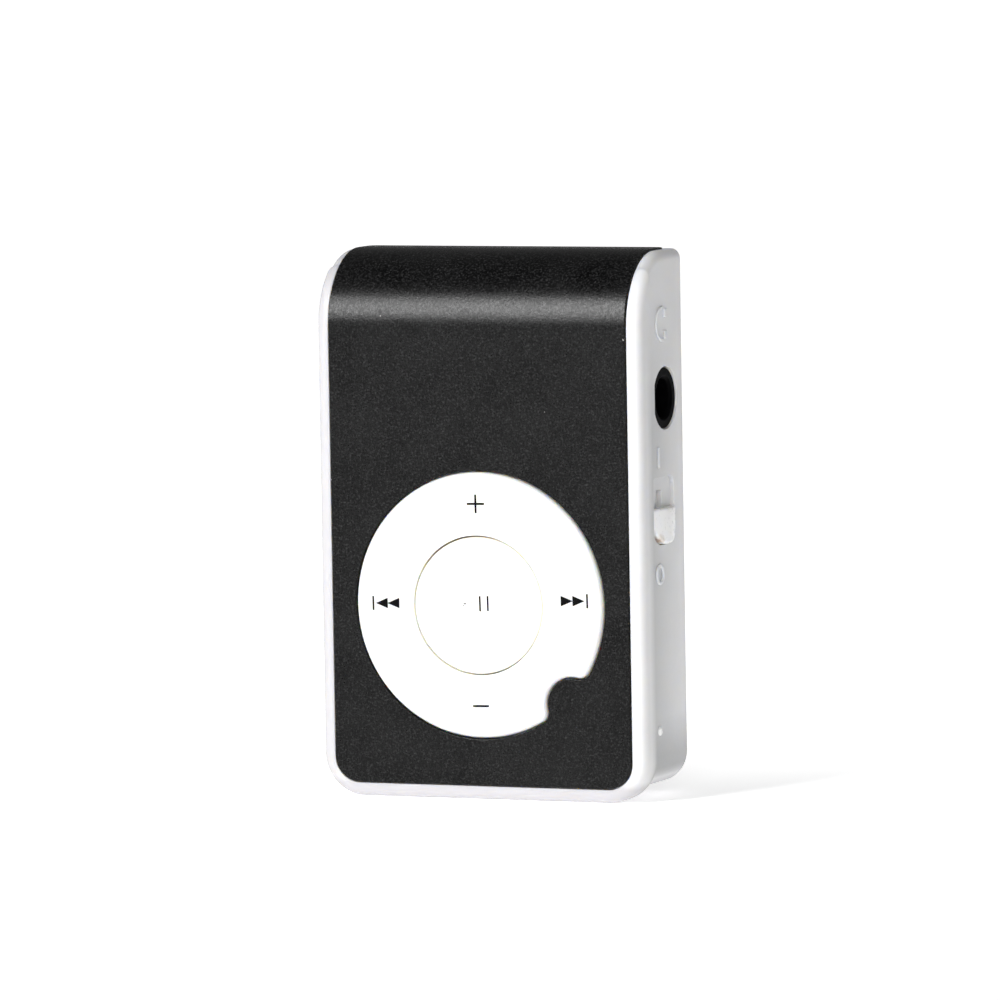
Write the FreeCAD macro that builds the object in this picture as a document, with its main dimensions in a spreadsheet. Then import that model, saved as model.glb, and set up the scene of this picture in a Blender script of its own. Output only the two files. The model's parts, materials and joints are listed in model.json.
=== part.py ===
import FreeCAD, Part
import math
import os

import Sketcher
from FreeCAD import Rotation, Vector

# Pocket audio player without a screen.  Millimetres.  +Z is up, +X is to the right seen from the front,
# and the front faces -Y.  The origin is the centre of the whole player's footprint, at its lowest edge.
# "Depth" below is always the distance behind the front plane of the face plate.

SIZES = {
    # whole body
    "front_y": -7.2,
    "body_width": 31.9,
    "body_height": 49.85,
    "body_depth": 11.4,
    "top_bend": 7.0,
    "running_gap": 0.1,
    # face plate and its tape
    "plate_width": 29.1,
    "plate_bottom": 1.35,
    "plate_corner": 2.3,
    "plate_thick": 0.6,
    "plate_reach": 10.1,
    "plate_proud": 0.15,
    "plate_tail_round": 0.8,
    "tape_thick": 0.1,
    "tape_margin": 0.35,
    # front frame
    "frame_depth": 3.0,
    "frame_corner": 3.9,
    "frame_round": 1.0,
    "frame_web": 1.2,
    "frame_wall": 1.1,
    "frame_sill": 1.5,
    "frame_inner_top": 45.6,
    "frame_inner_corner": 2.0,
    "boss_radius": 1.3,
    "boss_bore": 0.45,
    # rear shell
    "rear_side_step": 0.3,
    "rear_bottom_step": 0.9,
    "rear_corner": 3.0,
    "rear_round": 0.4,
    "rear_top_round": 0.9,
    "rear_wall": 1.2,
    "lip_thick": 0.3,
    "lip_length": 0.9,
    "lip_low": 6.0,
    "lip_high": 44.0,
    # control ring
    "wheel_z": 17.8,
    "ring_radius": 12.1,
    "ring_proud": 0.4,
    "ring_round": 0.7,
    "ring_gap": 0.15,
    "frame_ring_gap": 0.25,
    "bite_radius": 2.5,
    "bite_away": 12.55,
    "bite_tip": 1.0,
    "ring_flange_radius": 13.0,
    "ring_flange_depth": 2.35,
    "ring_flange_thick": 0.5,
    "ring_skin": 1.3,
    "ring_skirt_depth": 1.6,
    "ring_skirt_radius": 7.2,
    "ring_hollow_radius": 9.5,
    "plunger_radius": 0.7,
    "plunger_away": 10.6,
    "plunger_tip_depth": 3.42,
    # centre button
    "button_radius": 6.25,
    "button_gap": 0.12,
    "button_round": 0.25,
    "button_flange_radius": 6.95,
    "button_flange_depth": 2.0,
    "button_flange_thick": 0.5,
    "button_skin": 1.1,
    "button_hollow_radius": 4.8,
    "button_plunger_radius": 1.0,
    # gimbal under the ring
    "gimbal_inner": 7.7,
    "gimbal_outer": 9.1,
    "gimbal_depth": 2.0,
    "gimbal_thick": 0.3,
    "pivot_away": 8.4,
    "pivot_radius": 0.5,
    "pivot_gap": 0.03,
    # snap domes
    "dome_rise": 0.4,
    "dome_skin": 0.08,
    "dome_radius": 1.5,
    "play_dome_radius": 2.0,
    "dome_sheet_radius": 12.6,
    "dome_sheet_thick": 0.1,
    # main board
    "board_depth": 3.9,
    "board_thick": 1.0,
    "board_half": 13.9,
    "board_low": 2.5,
    "board_high": 46.2,
    "board_corner": 1.0,
    "screw_head_radius": 1.15,
    "screw_head_thick": 0.5,
    "screw_hole_radius": 0.75,
    "screw_radius": 0.45,
    "screw_reach": 2.6,
    "screw_slot": 0.3,
    # packages on the board
    "lead_thick": 0.25,
    "chip_lift": 0.1,
    "decoder_x": -4.0,
    "decoder_z": 22.0,
    "decoder_half": 3.0,
    "decoder_high": 1.1,
    "decoder_lead_long": 0.7,
    "decoder_lead_half": 0.13,
    "decoder_lead_pitch": 0.55,
    "amp_left": 3.0,
    "amp_right": 6.4,
    "amp_low": 24.0,
    "amp_top": 27.0,
    "amp_high": 1.0,
    "amp_lead_long": 0.6,
    "amp_lead_half": 0.15,
    "amp_lead_pitch": 0.85,
    "crystal_left": 3.2,
    "crystal_right": 6.4,
    "crystal_low": 14.0,
    "crystal_top": 16.5,
    "crystal_high": 0.8,
    "flat_long": 1.0,
    "flat_wide": 0.5,
    "flat_high": 0.5,
    "flat_left": -11.5,
    "flat_low": 14.0,
    "flat_column_pitch": 1.4,
    "flat_row_pitch": 1.3,
    "flat_right": 11.6,
    "flat_right_low": 13.5,
    "flat_right_pitch": 1.5,
    # headphone jack, 3.5 mm
    "jack_z": 36.35,
    "jack_depth": 6.95,
    "jack_hole_radius": 2.88,
    "jack_hole_flat": 2.57,
    "jack_bore": 1.8,
    "jack_nose_radius": 2.75,
    "jack_nose_flat": 2.44,
    "jack_nose_end": 15.5,
    "jack_nose_start": 14.1,
    "jack_body_end": 1.4,
    "jack_bore_end": 1.9,
    "jack_half_height": 3.0,
    "jack_half_depth": 2.6,
    "jack_board_gap": 0.2,
    "jack_lead_in": 0.25,
    "leaf_long": 2.0,
    "leaf_thick": 0.25,
    "leaf_front": 1.9,
    "leaf_back": 0.6,
    "leaf_lift": 0.2,
    "leaf_slot_deep": 0.7,
    "leaf_slot_margin": 0.1,
    "leaf_slot_end": 0.15,
    # slide switch
    "knob_depth": 6.0,
    "knob_low": 23.2,
    "knob_high": 26.5,
    "knob_half_depth": 2.6,
    "knob_corner": 2.2,
    "knob_top_corner": 0.4,
    "knob_outer_x": 16.3,
    "knob_crown": 7.0,
    "knob_round": 0.25,
    "recess_margin": 0.12,
    "recess_high": 29.25,
    "recess_top_corner": 0.9,
    "recess_deep": 0.4,
    "lever_half_depth": 0.5,
    "lever_low": 24.2,
    "lever_high": 25.4,
    "lever_root_x": 12.8,
    "lever_into_knob": 0.5,
    "carriage_margin": 1.2,
    "switch_travel": 2.4,
    "shutter_inner_x": 13.85,
    "shutter_outer_x": 14.3,
    "shutter_half_depth": 0.95,
    "shutter_margin": 0.35,
    "can_inner_x": 10.8,
    "can_outer_x": 13.7,
    "can_low": 21.8,
    "can_high": 30.2,
    "can_front_depth": 4.9,
    "can_back_depth": 8.7,
    "can_skin": 0.25,
    # memory card socket
    "card_low": 32.4,
    "card_high": 46.0,
    "card_inner_x": -0.3,
    "card_outer_x": -14.1,
    "card_tall": 1.8,
    "card_skin": 0.2,
    "card_base_thick": 0.5,
    "card_rail": 1.0,
    "card_slot_low": 33.3,
    "card_slot_high": 45.1,
    "card_slot_front": 5.3,
    "card_slot_back": 6.65,
    "card_slot_corner": 0.3,
    "card_stop_thick": 1.0,
    "card_first_contact": 3.0,
    "card_contact_pitch": 1.1,
    "card_contact_half": 0.25,
    "card_contact_thick": 0.15,
    "card_groove_half": 0.3,
    "card_groove_deep": 0.2,
    "card_groove_start": 3.0,
    "card_contact_start": 3.2,
    "card_contact_end": 0.1,
    "card_window_radius": 1.5,
    "card_window_x": 6.0,
    "card_window_z": 6.8,
    # mini USB socket
    "usb_half": 3.85,
    "usb_tall": 3.95,
    "usb_low": 1.0,
    "usb_high": 10.2,
    "usb_skin": 0.3,
    "usb_chamfer": 1.0,
    "usb_gap": 0.15,
    "usb_hole_corner": 0.5,
    "usb_root_long": 3.0,
    "usb_tongue_half": 2.1,
    "usb_tongue_half_thick": 0.5,
    "usb_tongue_start": 0.8,
    "usb_contact_pitch": 0.8,
    "usb_contact_half": 0.15,
    "usb_contact_start": 1.2,
    "usb_groove_half": 0.2,
    "usb_groove_deep": 0.15,
    "usb_groove_start": 1.1,
    # battery
    "cell_left": -12.5,
    "cell_right": 7.5,
    "cell_low": 11.3,
    "cell_high": 31.6,
    "cell_front_depth": 6.4,
    "cell_back_depth": 10.05,
    "cell_round": 1.2,
    "cell_tape_margin": 3.0,
    "lead_depth": 1.4,
    "lead_radius": 0.3,
    "lead_bend": 0.9,
    "lead_drop": 9.2,
    # indicator light
    "light_z": 6.25,
    "light_depth": 4.5,
    "light_radius": 0.45,
    "light_outer_x": 15.8,
    "light_inner_x": 14.0,
    "led_thick": 0.9,
    "led_high": 0.8,
    "led_half": 0.6,
    "led_gap": 0.1,
    # spring clip
    "clip_half": 10.5,
    "clip_low": 5.0,
    "clip_high": 46.5,
    "clip_corner": 3.5,
    "clip_inner_depth": 13.45,
    "clip_outer_depth": 14.8,
    "clip_round": 0.5,
    "clip_rib_half": 8.5,
    "clip_rib_low": 6.2,
    "clip_rib_high": 7.8,
    "clip_rib_depth": 11.5,
    "pin_z": 39.5,
    "pin_depth": 12.4,
    "pin_radius": 0.5,
    "pin_fit": 0.05,
    "ear_radius": 0.95,
    "ear_rooted": 0.3,
    "ear_near_x": 5.6,
    "ear_far_x": 7.2,
    "knuckle_near_x": 3.6,
    "knuckle_far_x": 5.4,
    "spring_wire": 0.18,
    "spring_coil": 0.76,
    "spring_pitch": 0.42,
    "spring_turns": 5.5,
    "spring_leg": 4.5,
}
BITE_ANGLE = math.radians(-45)
BOSS_PLACES = [(12.2, 43.8), (-12.4, 29.8), (-12.2, 4.3), (12.2, 4.3)]
LEAD_PLACES = {"battery_lead_red": -9.5, "battery_lead_black": -8.3}
LEAF_PLACES = [(3.2, 1), (6.6, -1), (10.0, 1)]
DECODER_LEADS = 10
AMP_LEADS = 4
FLAT_COLUMNS = 3
FLAT_ROWS = 4
FLAT_RIGHT_ROWS = 5
CARD_CONTACTS = 8
USB_CONTACTS = 5
# How far a cutting tool runs past what it cuts, so that no two faces lie in one plane.
PAST = 1
WELD_BALL = 1.04


class Size:
    """A number, together with the spreadsheet expression that gives it."""

    def __init__(self, value, text):
        self.value = value
        self.text = text

    def joined(self, sign, other, value):
        return Size(value, f"({self.text} {sign} {as_size(other).text})")

    def __add__(self, other):
        return self.joined("+", other, self.value + as_size(other).value)

    def __sub__(self, other):
        return self.joined("-", other, self.value - as_size(other).value)

    def __mul__(self, other):
        return self.joined("*", other, self.value * as_size(other).value)

    def __truediv__(self, other):
        return self.joined("/", other, self.value / as_size(other).value)

    def __neg__(self):
        return Size(-self.value, f"(0 - {self.text})")

    def root(self):
        return Size(math.sqrt(self.value), f"sqrt({self.text})")


def as_size(number):
    if isinstance(number, Size):
        return number
    return Size(float(number), f"{float(number):.6f}")


class Sizes:
    """The spreadsheet's cells, by their aliases."""

    def __getattr__(self, alias):
        return Size(float(SIZES[alias]), f"Dims.{alias}")


size = Sizes()
doc = FreeCAD.newDocument("audio_player")
nodes = {}


def make_sheet():
    sheet = doc.addObject("Spreadsheet::Sheet", "Dims")
    for row, (alias, number) in enumerate(SIZES.items(), start=1):
        sheet.set(f"A{row}", alias.replace("_", " "))
        sheet.set(f"B{row}", str(number))
        sheet.setAlias(f"B{row}", alias)
    doc.recompute()


def at_depth(depth):
    """Y of a plane that lies this far behind the face plate's front."""
    return size.front_y + depth


def keep(name, piece):
    piece.Label = name
    nodes[name] = piece
    return piece


def bind(piece, name, amount):
    piece.setExpression(name, as_size(amount).text)


# ---- sketches ----------------------------------------------------------------------------------------


def new_sketch(body, name, plane, level):
    """A sketch on one of the body's origin planes, moved to the world coordinate `level` across it."""
    sketch = body.newObject("Sketcher::SketchObject", name)
    origin_plane = [part for part in body.Origin.OriginFeatures if part.Role == plane][0]
    sketch.AttachmentSupport = [(origin_plane, "")]
    sketch.MapMode = "FlatFace"
    bind(sketch, "AttachmentOffset.Base.z", -as_size(level) if plane == "XZ_Plane" else level)
    return sketch


def fix_point(sketch, geometry, end, x, y):
    """Ties a point to its two coordinates."""
    for kind, amount, axis in (("DistanceX", as_size(x), -2), ("DistanceY", as_size(y), -1)):
        if abs(amount.value) < 1e-9:
            sketch.addConstraint(Sketcher.Constraint("PointOnObject", geometry, end, axis))
        else:
            index = sketch.addConstraint(Sketcher.Constraint(kind, -1, 1, geometry, end, amount.value))
            bind(sketch, f"Constraints[{index}]", amount)


def fix_radius(sketch, geometry, radius):
    index = sketch.addConstraint(Sketcher.Constraint("Radius", geometry, radius.value))
    bind(sketch, f"Constraints[{index}]", radius)


def add_circle(sketch, x, y, radius):
    radius = as_size(radius)
    centre = Vector(as_size(x).value, as_size(y).value, 0)
    circle = sketch.addGeometry(Part.Circle(centre, Vector(0, 0, 1), radius.value))
    fix_point(sketch, circle, 3, x, y)
    fix_radius(sketch, circle, radius)


def arc_between(start, end, radius, left):
    """The shorter arc from start to end; `left` says that it turns left on its way."""
    chord = end - start
    half = chord.Length / 2
    side = Vector(-chord.y, chord.x, 0) / chord.Length
    away = math.sqrt(max(radius * radius - half * half, 0))
    centre = (start + end) / 2 + side * (away if left else -away)
    first, last = (start, end) if left else (end, start)
    angles = [math.atan2(point.y - centre.y, point.x - centre.x) for point in (first, last)]
    return Part.ArcOfCircle(Part.Circle(centre, Vector(0, 0, 1), radius), angles[0], angles[1])


def add_outline(sketch, corners):
    """A closed outline.  A corner is (x, y), or (x, y, radius, "left" or "right") where the edge that
    leaves it is an arc of that radius."""
    ends = []
    for number, corner in enumerate(corners):
        after = corners[(number + 1) % len(corners)]
        start = Vector(as_size(corner[0]).value, as_size(corner[1]).value, 0)
        end = Vector(as_size(after[0]).value, as_size(after[1]).value, 0)
        if len(corner) == 2:
            edge = sketch.addGeometry(Part.LineSegment(start, end))
            ends.append((edge, 1, 2))
        else:
            left = corner[3] == "left"
            edge = sketch.addGeometry(arc_between(start, end, as_size(corner[2]).value, left))
            fix_radius(sketch, edge, as_size(corner[2]))
            ends.append((edge, 1, 2) if left else (edge, 2, 1))
    for number, corner in enumerate(corners):
        edge, start, _ = ends[number]
        before, _, end = ends[number - 1]
        sketch.addConstraint(Sketcher.Constraint("Coincident", before, end, edge, start))
        fix_point(sketch, edge, start, corner[0], corner[1])


def add_rectangle(sketch, left, right, low, high, corner=None):
    """An upright rectangle, with round corners if `corner` is given."""
    left, right, low, high = (as_size(edge) for edge in (left, right, low, high))
    if corner is None:
        add_outline(sketch, [(left, low), (right, low), (right, high), (left, high)])
        return
    corner = as_size(corner)
    add_outline(sketch, [
        (left + corner, low),
        (right - corner, low, corner, "left"),
        (right, low + corner),
        (right, high - corner, corner, "left"),
        (right - corner, high),
        (left + corner, high, corner, "left"),
        (left, high - corner),
        (left, low + corner, corner, "left"),
    ])


def add_bitten_circle(sketch, grow):
    """The control ring's outline, grown all round: a circle with a round bite and rounded tips."""
    grow = as_size(grow)
    big = size.ring_radius + grow
    tip = size.bite_tip + grow
    bite = size.bite_radius - grow
    wheel = Vector(0, size.wheel_z.value, 0)
    away = size.bite_away.value
    tip_away = size.ring_radius.value - size.bite_tip.value
    tip_reach = size.bite_radius.value + size.bite_tip.value
    spread = math.acos((tip_away ** 2 + away ** 2 - tip_reach ** 2) / (2 * tip_away * away))
    bite_centre = wheel + Vector(math.cos(BITE_ANGLE), math.sin(BITE_ANGLE), 0) * away

    def tip_points(side):
        turn = BITE_ANGLE + side * spread
        ray = Vector(math.cos(turn), math.sin(turn), 0)
        centre = wheel + ray * tip_away
        inward = (bite_centre - centre).normalize()
        return wheel + ray * big.value, centre + inward * tip.value

    upper_ring, upper_bite = tip_points(1)
    lower_ring, lower_bite = tip_points(-1)
    turn_up = math.atan2(upper_ring.y - wheel.y, upper_ring.x)
    turn_low = math.atan2(lower_ring.y - wheel.y, lower_ring.x)
    across = Vector(0, 0, 1)
    main = sketch.addGeometry(Part.ArcOfCircle(Part.Circle(wheel, across, big.value), turn_up, turn_low))
    low_tip = sketch.addGeometry(arc_between(lower_ring, lower_bite, tip.value, True))
    mouth = sketch.addGeometry(arc_between(lower_bite, upper_bite, bite.value, False))
    high_tip = sketch.addGeometry(arc_between(upper_bite, upper_ring, tip.value, True))
    for first, end, second, start in (
        (main, 2, low_tip, 1), (low_tip, 2, mouth, 2), (mouth, 1, high_tip, 1), (high_tip, 2, main, 1),
    ):
        sketch.addConstraint(Sketcher.Constraint("Tangent", first, end, second, start))
    fix_point(sketch, main, 3, 0, size.wheel_z)
    fix_point(sketch, mouth, 3, size.bite_away * math.cos(BITE_ANGLE),
              size.wheel_z + size.bite_away * math.sin(BITE_ANGLE))
    for arc, radius in ((main, big), (low_tip, tip), (mouth, bite), (high_tip, tip)):
        fix_radius(sketch, arc, radius)


# ---- PartDesign features -----------------------------------------------------------------------------


def new_body(name):
    return keep(name, doc.addObject("PartDesign::Body", name))


def add_feature(body, kind, name, **settings):
    """Adds a feature, and stops if it has left the body's volume as it was."""
    before = body.Shape.Volume if body.Tip else 0.0
    feature = body.newObject(f"PartDesign::{kind}", name)
    for setting, amount in settings.items():
        if isinstance(amount, Size):
            bind(feature, setting, amount)
        else:
            setattr(feature, setting, amount)
    body.Tip = feature
    doc.recompute()
    if abs(body.Shape.Volume - before) < 1e-6:
        raise RuntimeError(f"{body.Label}: {name} changed nothing")
    return feature


def pad(body, sketch, length, back=False, both=False):
    side = "Symmetric" if both else "One side"
    return add_feature(body, "Pad", f"{sketch.Name}_pad", Profile=sketch, Length=length, Reversed=back,
                       SideType=side)


def pocket(body, sketch, length, back=False, both=False):
    side = "Symmetric" if both else "One side"
    return add_feature(body, "Pocket", f"{sketch.Name}_pocket", Profile=sketch, Length=length,
                       Reversed=back, SideType=side)


def fillet(body, name, radius, wanted):
    """Rounds every edge of the body for which wanted(edge) holds."""
    edges = [f"Edge{number}" for number, edge in enumerate(body.Tip.Shape.Edges, start=1) if wanted(edge)]
    if not edges:
        raise RuntimeError(f"{body.Label}: {name} found no edge")
    return add_feature(body, "Fillet", f"{body.Name}_{name}", Base=(body.Tip, edges), Radius=radius)


def near(first, second):
    return abs(first - second) < 1e-4


def lies_along(edge, axis):
    """The edge is straight and parallel to an axis."""
    box = edge.BoundBox
    spans = {"x": box.XLength, "y": box.YLength, "z": box.ZLength}
    long_enough = spans.pop(axis) > 0.05
    return long_enough and all(span < 1e-4 for span in spans.values())


def at_x(edge, x):
    return near(edge.BoundBox.XMin, x) and near(edge.BoundBox.XMax, x)


def at_y(edge, y):
    return near(edge.BoundBox.YMin, y) and near(edge.BoundBox.YMax, y)


def at_z(edge, z):
    return near(edge.BoundBox.ZMin, z) and near(edge.BoundBox.ZMax, z)


# ---- Part primitives ---------------------------------------------------------------------------------


def block(name, x, y, z):
    """A box from three (low, high) pairs."""
    piece = doc.addObject("Part::Box", name)
    for side, letter, pair in (("Length", "x", x), ("Width", "y", y), ("Height", "z", z)):
        low, high = (as_size(end) for end in pair)
        bind(piece, side, high - low)
        bind(piece, f"Placement.Base.{letter}", low)
    return piece


def rod(name, axis, centre, radius, ends):
    """A cylinder along an axis; `centre` holds its place on the two other axes, in X, Y, Z order."""
    piece = doc.addObject("Part::Cylinder", name)
    turns = {"x": Rotation(Vector(0, 1, 0), 90), "y": Rotation(Vector(1, 0, 0), -90), "z": Rotation()}
    piece.Placement = FreeCAD.Placement(Vector(), turns[axis])
    bind(piece, "Radius", radius)
    bind(piece, "Height", as_size(ends[1]) - ends[0])
    places = iter(centre)
    for letter in "xyz":
        bind(piece, f"Placement.Base.{letter}", ends[0] if letter == axis else next(places))
    return piece


def join(name, pieces):
    if len(pieces) == 1:
        return pieces[0]
    fused = doc.addObject("Part::MultiFuse", name)
    fused.Shapes = pieces
    return fused


def cut(name, base, tools):
    piece = doc.addObject("Part::Cut", name)
    piece.Base = base
    piece.Tool = join(f"{name}_tools", tools)
    return piece


def group(name, pieces):
    """Separate solids that are one node."""
    together = doc.addObject("Part::Compound", name)
    together.Links = pieces
    return together


def depths(front, back):
    return at_depth(as_size(front)), at_depth(as_size(back))


# ---- shell pieces ------------------------------------------------------------------------------------


def bend_z():
    """Height of the centre of the bend that carries the plate over the top."""
    return size.body_height - size.top_bend


def recess_depth():
    """How far the floor that carries the tape lies behind the plate's front."""
    return size.plate_thick + size.tape_thick


def height_on_bend(radius, depth):
    """Height at which a circle about the bend's centre reaches this depth."""
    return bend_z() + (radius * radius - (size.top_bend - depth) * (size.top_bend - depth)).root()


def make_face_plate():
    """Sheet aluminium: flat in front, bent back over the top, with a hole for the ring."""
    body = new_body("face_plate")
    half = size.plate_width / 2
    bend_back = at_depth(size.top_bend)
    tail = at_depth(size.plate_reach)
    inner = size.top_bend - size.plate_thick
    inner_top = size.body_height - size.plate_thick
    profile = new_sketch(body, "plate_profile", "YZ_Plane", 0)
    add_outline(profile, [
        (size.front_y, size.plate_bottom),
        (at_depth(size.plate_thick), size.plate_bottom),
        (at_depth(size.plate_thick), bend_z(), inner, "right"),
        (bend_back, inner_top),
        (tail, inner_top),
        (tail, size.body_height),
        (bend_back, size.body_height, size.top_bend, "left"),
        (size.front_y, bend_z()),
    ])
    pad(body, profile, size.plate_width, both=True)
    fillet(body, "low_corners", size.plate_corner,
           lambda edge: lies_along(edge, "y") and at_z(edge, size.plate_bottom.value))
    fillet(body, "tail_corners", size.plate_tail_round,
           lambda edge: lies_along(edge, "z") and at_y(edge, tail.value)
           and near(abs(edge.CenterOfMass.x), half.value))
    hole = new_sketch(body, "plate_hole", "XZ_Plane", at_depth(size.plate_thick + size.running_gap))
    add_bitten_circle(hole, size.ring_gap)
    pocket(body, hole, size.plate_thick + size.running_gap * 2, back=True)


def make_plate_tape():
    """Double-sided tape between the plate's flat front and the frame."""
    body = new_body("plate_tape")
    half = size.plate_width / 2 - size.tape_margin
    sheet = new_sketch(body, "tape_sheet", "XZ_Plane", at_depth(size.plate_thick))
    add_rectangle(sheet, -half, half, size.plate_bottom + size.tape_margin, bend_z(), size.plate_corner)
    pad(body, sheet, size.tape_thick, back=True)
    hole = new_sketch(body, "tape_hole", "XZ_Plane", at_depth(recess_depth() + size.running_gap))
    add_bitten_circle(hole, size.frame_ring_gap)
    pocket(body, hole, size.tape_thick + size.running_gap * 2, back=True)


def cut_plate_recess(body, name, reach):
    """The bed in which the plate and its tape lie over the top, back to a depth of `reach`."""
    low = bend_z() - PAST
    floor_top = size.body_height - recess_depth()
    above = size.body_height + PAST
    before = size.front_y - PAST
    bed = new_sketch(body, name, "YZ_Plane", 0)
    add_outline(bed, [
        (before, low),
        (at_depth(recess_depth()), low),
        (at_depth(recess_depth()), bend_z(), size.top_bend - recess_depth(), "right"),
        (at_depth(size.top_bend), floor_top),
        (at_depth(reach), floor_top),
        (at_depth(reach), above),
        (before, above),
    ])
    pocket(body, bed, size.plate_width + size.running_gap * 2, both=True)


def make_front_frame():
    """White moulding that shows as a rim round the plate and carries the ring."""
    body = new_body("front_frame")
    face = at_depth(size.plate_proud)
    back = at_depth(size.frame_depth)
    outer = size.top_bend - size.plate_proud
    half = size.body_width / 2
    profile = new_sketch(body, "frame_profile", "YZ_Plane", 0)
    add_outline(profile, [
        (face, 0),
        (back, 0),
        (back, height_on_bend(outer, size.frame_depth), outer, "left"),
        (face, bend_z()),
    ])
    pad(body, profile, size.body_width, both=True)
    fillet(body, "low_corners", size.frame_corner, lambda edge: lies_along(edge, "y") and at_z(edge, 0))
    fillet(body, "front_round", size.frame_round,
           lambda edge: at_y(edge, face.value) and not near(edge.CenterOfMass.z, bend_z().value)
           or near(abs(edge.CenterOfMass.x), half.value) and edge.BoundBox.ZMin > bend_z().value - 1e-4
           and not lies_along(edge, "z"))
    bed = new_sketch(body, "frame_bed", "XZ_Plane", at_depth(recess_depth()))
    bed_half = size.plate_width / 2 + size.running_gap
    bed_low = size.plate_bottom - size.running_gap
    bed_corner = size.plate_corner + size.running_gap
    add_outline(bed, [
        (-bed_half + bed_corner, bed_low),
        (bed_half - bed_corner, bed_low, bed_corner, "left"),
        (bed_half, bed_low + bed_corner),
        (bed_half, bend_z()),
        (-bed_half, bend_z()),
        (-bed_half, bed_low + bed_corner, bed_corner, "left"),
    ])
    pocket(body, bed, recess_depth() + PAST, back=True)
    cut_plate_recess(body, "frame_top_bed", size.frame_depth + PAST)
    web_back = recess_depth() + size.frame_web
    hole = new_sketch(body, "frame_ring_hole", "XZ_Plane", back)
    add_bitten_circle(hole, size.frame_ring_gap)
    pocket(body, hole, size.frame_depth + PAST, back=True)
    inside = new_sketch(body, "frame_inside", "XZ_Plane", back)
    inner_half = half - size.frame_wall
    add_rectangle(inside, -inner_half, inner_half, size.frame_sill, size.frame_inner_top,
                  size.frame_inner_corner)
    pocket(body, inside, size.frame_depth - web_back, back=True)
    for number, (x, z) in enumerate(BOSS_PLACES):
        boss = new_sketch(body, f"frame_boss_{number}", "XZ_Plane", at_depth(web_back))
        add_circle(boss, x, z, size.boss_radius)
        pad(body, boss, size.board_depth - web_back, back=True)
        bore = new_sketch(body, f"frame_boss_bore_{number}", "XZ_Plane", at_depth(size.board_depth))
        add_circle(bore, x, z, size.boss_bore)
        pocket(body, bore, size.board_depth - web_back, back=True)


def cut_side_openings(body):
    """Openings in the shell's walls: jack, switch, light, memory card and USB."""
    outside = size.body_width / 2 + PAST
    wall_cut = size.rear_wall * 2 + PAST
    side_x = size.body_width / 2 - size.rear_side_step
    jack_y = at_depth(size.jack_depth)
    flat_y = jack_y - size.jack_hole_flat
    rise = (size.jack_hole_radius * size.jack_hole_radius - size.jack_hole_flat * size.jack_hole_flat).root()
    far = jack_y + size.jack_hole_radius
    jack = new_sketch(body, "shell_jack_hole", "YZ_Plane", outside)
    add_outline(jack, [
        (flat_y, size.jack_z - rise, size.jack_hole_radius, "left"),
        (jack_y, size.jack_z - size.jack_hole_radius, size.jack_hole_radius, "left"),
        (far, size.jack_z, size.jack_hole_radius, "left"),
        (jack_y, size.jack_z + size.jack_hole_radius, size.jack_hole_radius, "left"),
        (flat_y, size.jack_z + rise),
    ])
    pocket(body, jack, wall_cut)
    knob_y = at_depth(size.knob_depth)
    half = size.knob_half_depth + size.recess_margin
    recess = new_sketch(body, "shell_switch_recess", "YZ_Plane", side_x)
    add_thumb_outline(recess, knob_y, half, size.knob_low - size.recess_margin, size.recess_high,
                      size.knob_corner + size.recess_margin, size.recess_top_corner)
    pocket(body, recess, size.recess_deep)
    slot = new_sketch(body, "shell_lever_slot", "YZ_Plane", outside)
    margin = size.recess_margin * 2
    add_rectangle(slot, knob_y - size.lever_half_depth - size.recess_margin,
                  knob_y + size.lever_half_depth + size.recess_margin,
                  size.lever_low - margin, size.lever_high + size.switch_travel + margin)
    pocket(body, slot, wall_cut)
    light = new_sketch(body, "shell_light_hole", "YZ_Plane", outside)
    add_circle(light, at_depth(size.light_depth), size.light_z, size.light_radius)
    pocket(body, light, wall_cut)
    card = new_sketch(body, "shell_card_slot", "YZ_Plane", -outside)
    add_rectangle(card, at_depth(size.card_slot_front), at_depth(size.card_slot_back),
                  size.card_slot_low, size.card_slot_high, size.card_slot_corner)
    pocket(body, card, wall_cut, back=True)
    usb = new_sketch(body, "shell_usb_hole", "XY_Plane", 0)
    usb_half = size.usb_half + size.usb_gap
    usb_front = size.board_depth + size.board_thick - size.usb_gap
    add_rectangle(usb, -usb_half, usb_half, at_depth(usb_front),
                  at_depth(usb_front + size.usb_tall + size.usb_gap * 2), size.usb_hole_corner)
    pocket(body, usb, size.rear_bottom_step + size.rear_wall * 1.5, back=True)


def add_thumb_outline(sketch, middle, half, low, high, low_corner, high_corner):
    """Flat-topped outline with a well rounded lower end, as the switch knob and its recess have."""
    left = middle - half
    right = middle + half
    add_outline(sketch, [
        (left + low_corner, low),
        (right - low_corner, low, low_corner, "left"),
        (right, low + low_corner),
        (right, high - high_corner, high_corner, "left"),
        (right - high_corner, high),
        (left + high_corner, high, high_corner, "left"),
        (left, high - high_corner),
        (left, low + low_corner, low_corner, "left"),
    ])


def add_ear(body, name, near_x, far_x, root_depth):
    """A lug round the clip's pin, from the depth of its root, on the side that near_x and far_x give."""
    pin_y = at_depth(size.pin_depth)
    root = at_depth(root_depth)
    towards_back = root_depth.value > size.pin_depth.value
    ear = new_sketch(body, name, "YZ_Plane", near_x)
    low = size.pin_z - size.ear_radius
    high = size.pin_z + size.ear_radius
    if towards_back:
        add_outline(ear, [
            (pin_y, low),
            (root, low),
            (root, high),
            (pin_y, high, size.ear_radius, "left"),
            (pin_y - size.ear_radius, size.pin_z, size.ear_radius, "left"),
        ])
    else:
        add_outline(ear, [
            (root, low),
            (pin_y, low, size.ear_radius, "left"),
            (pin_y + size.ear_radius, size.pin_z, size.ear_radius, "left"),
            (pin_y, high),
            (root, high),
        ])
    pad(body, ear, far_x - near_x)


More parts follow.
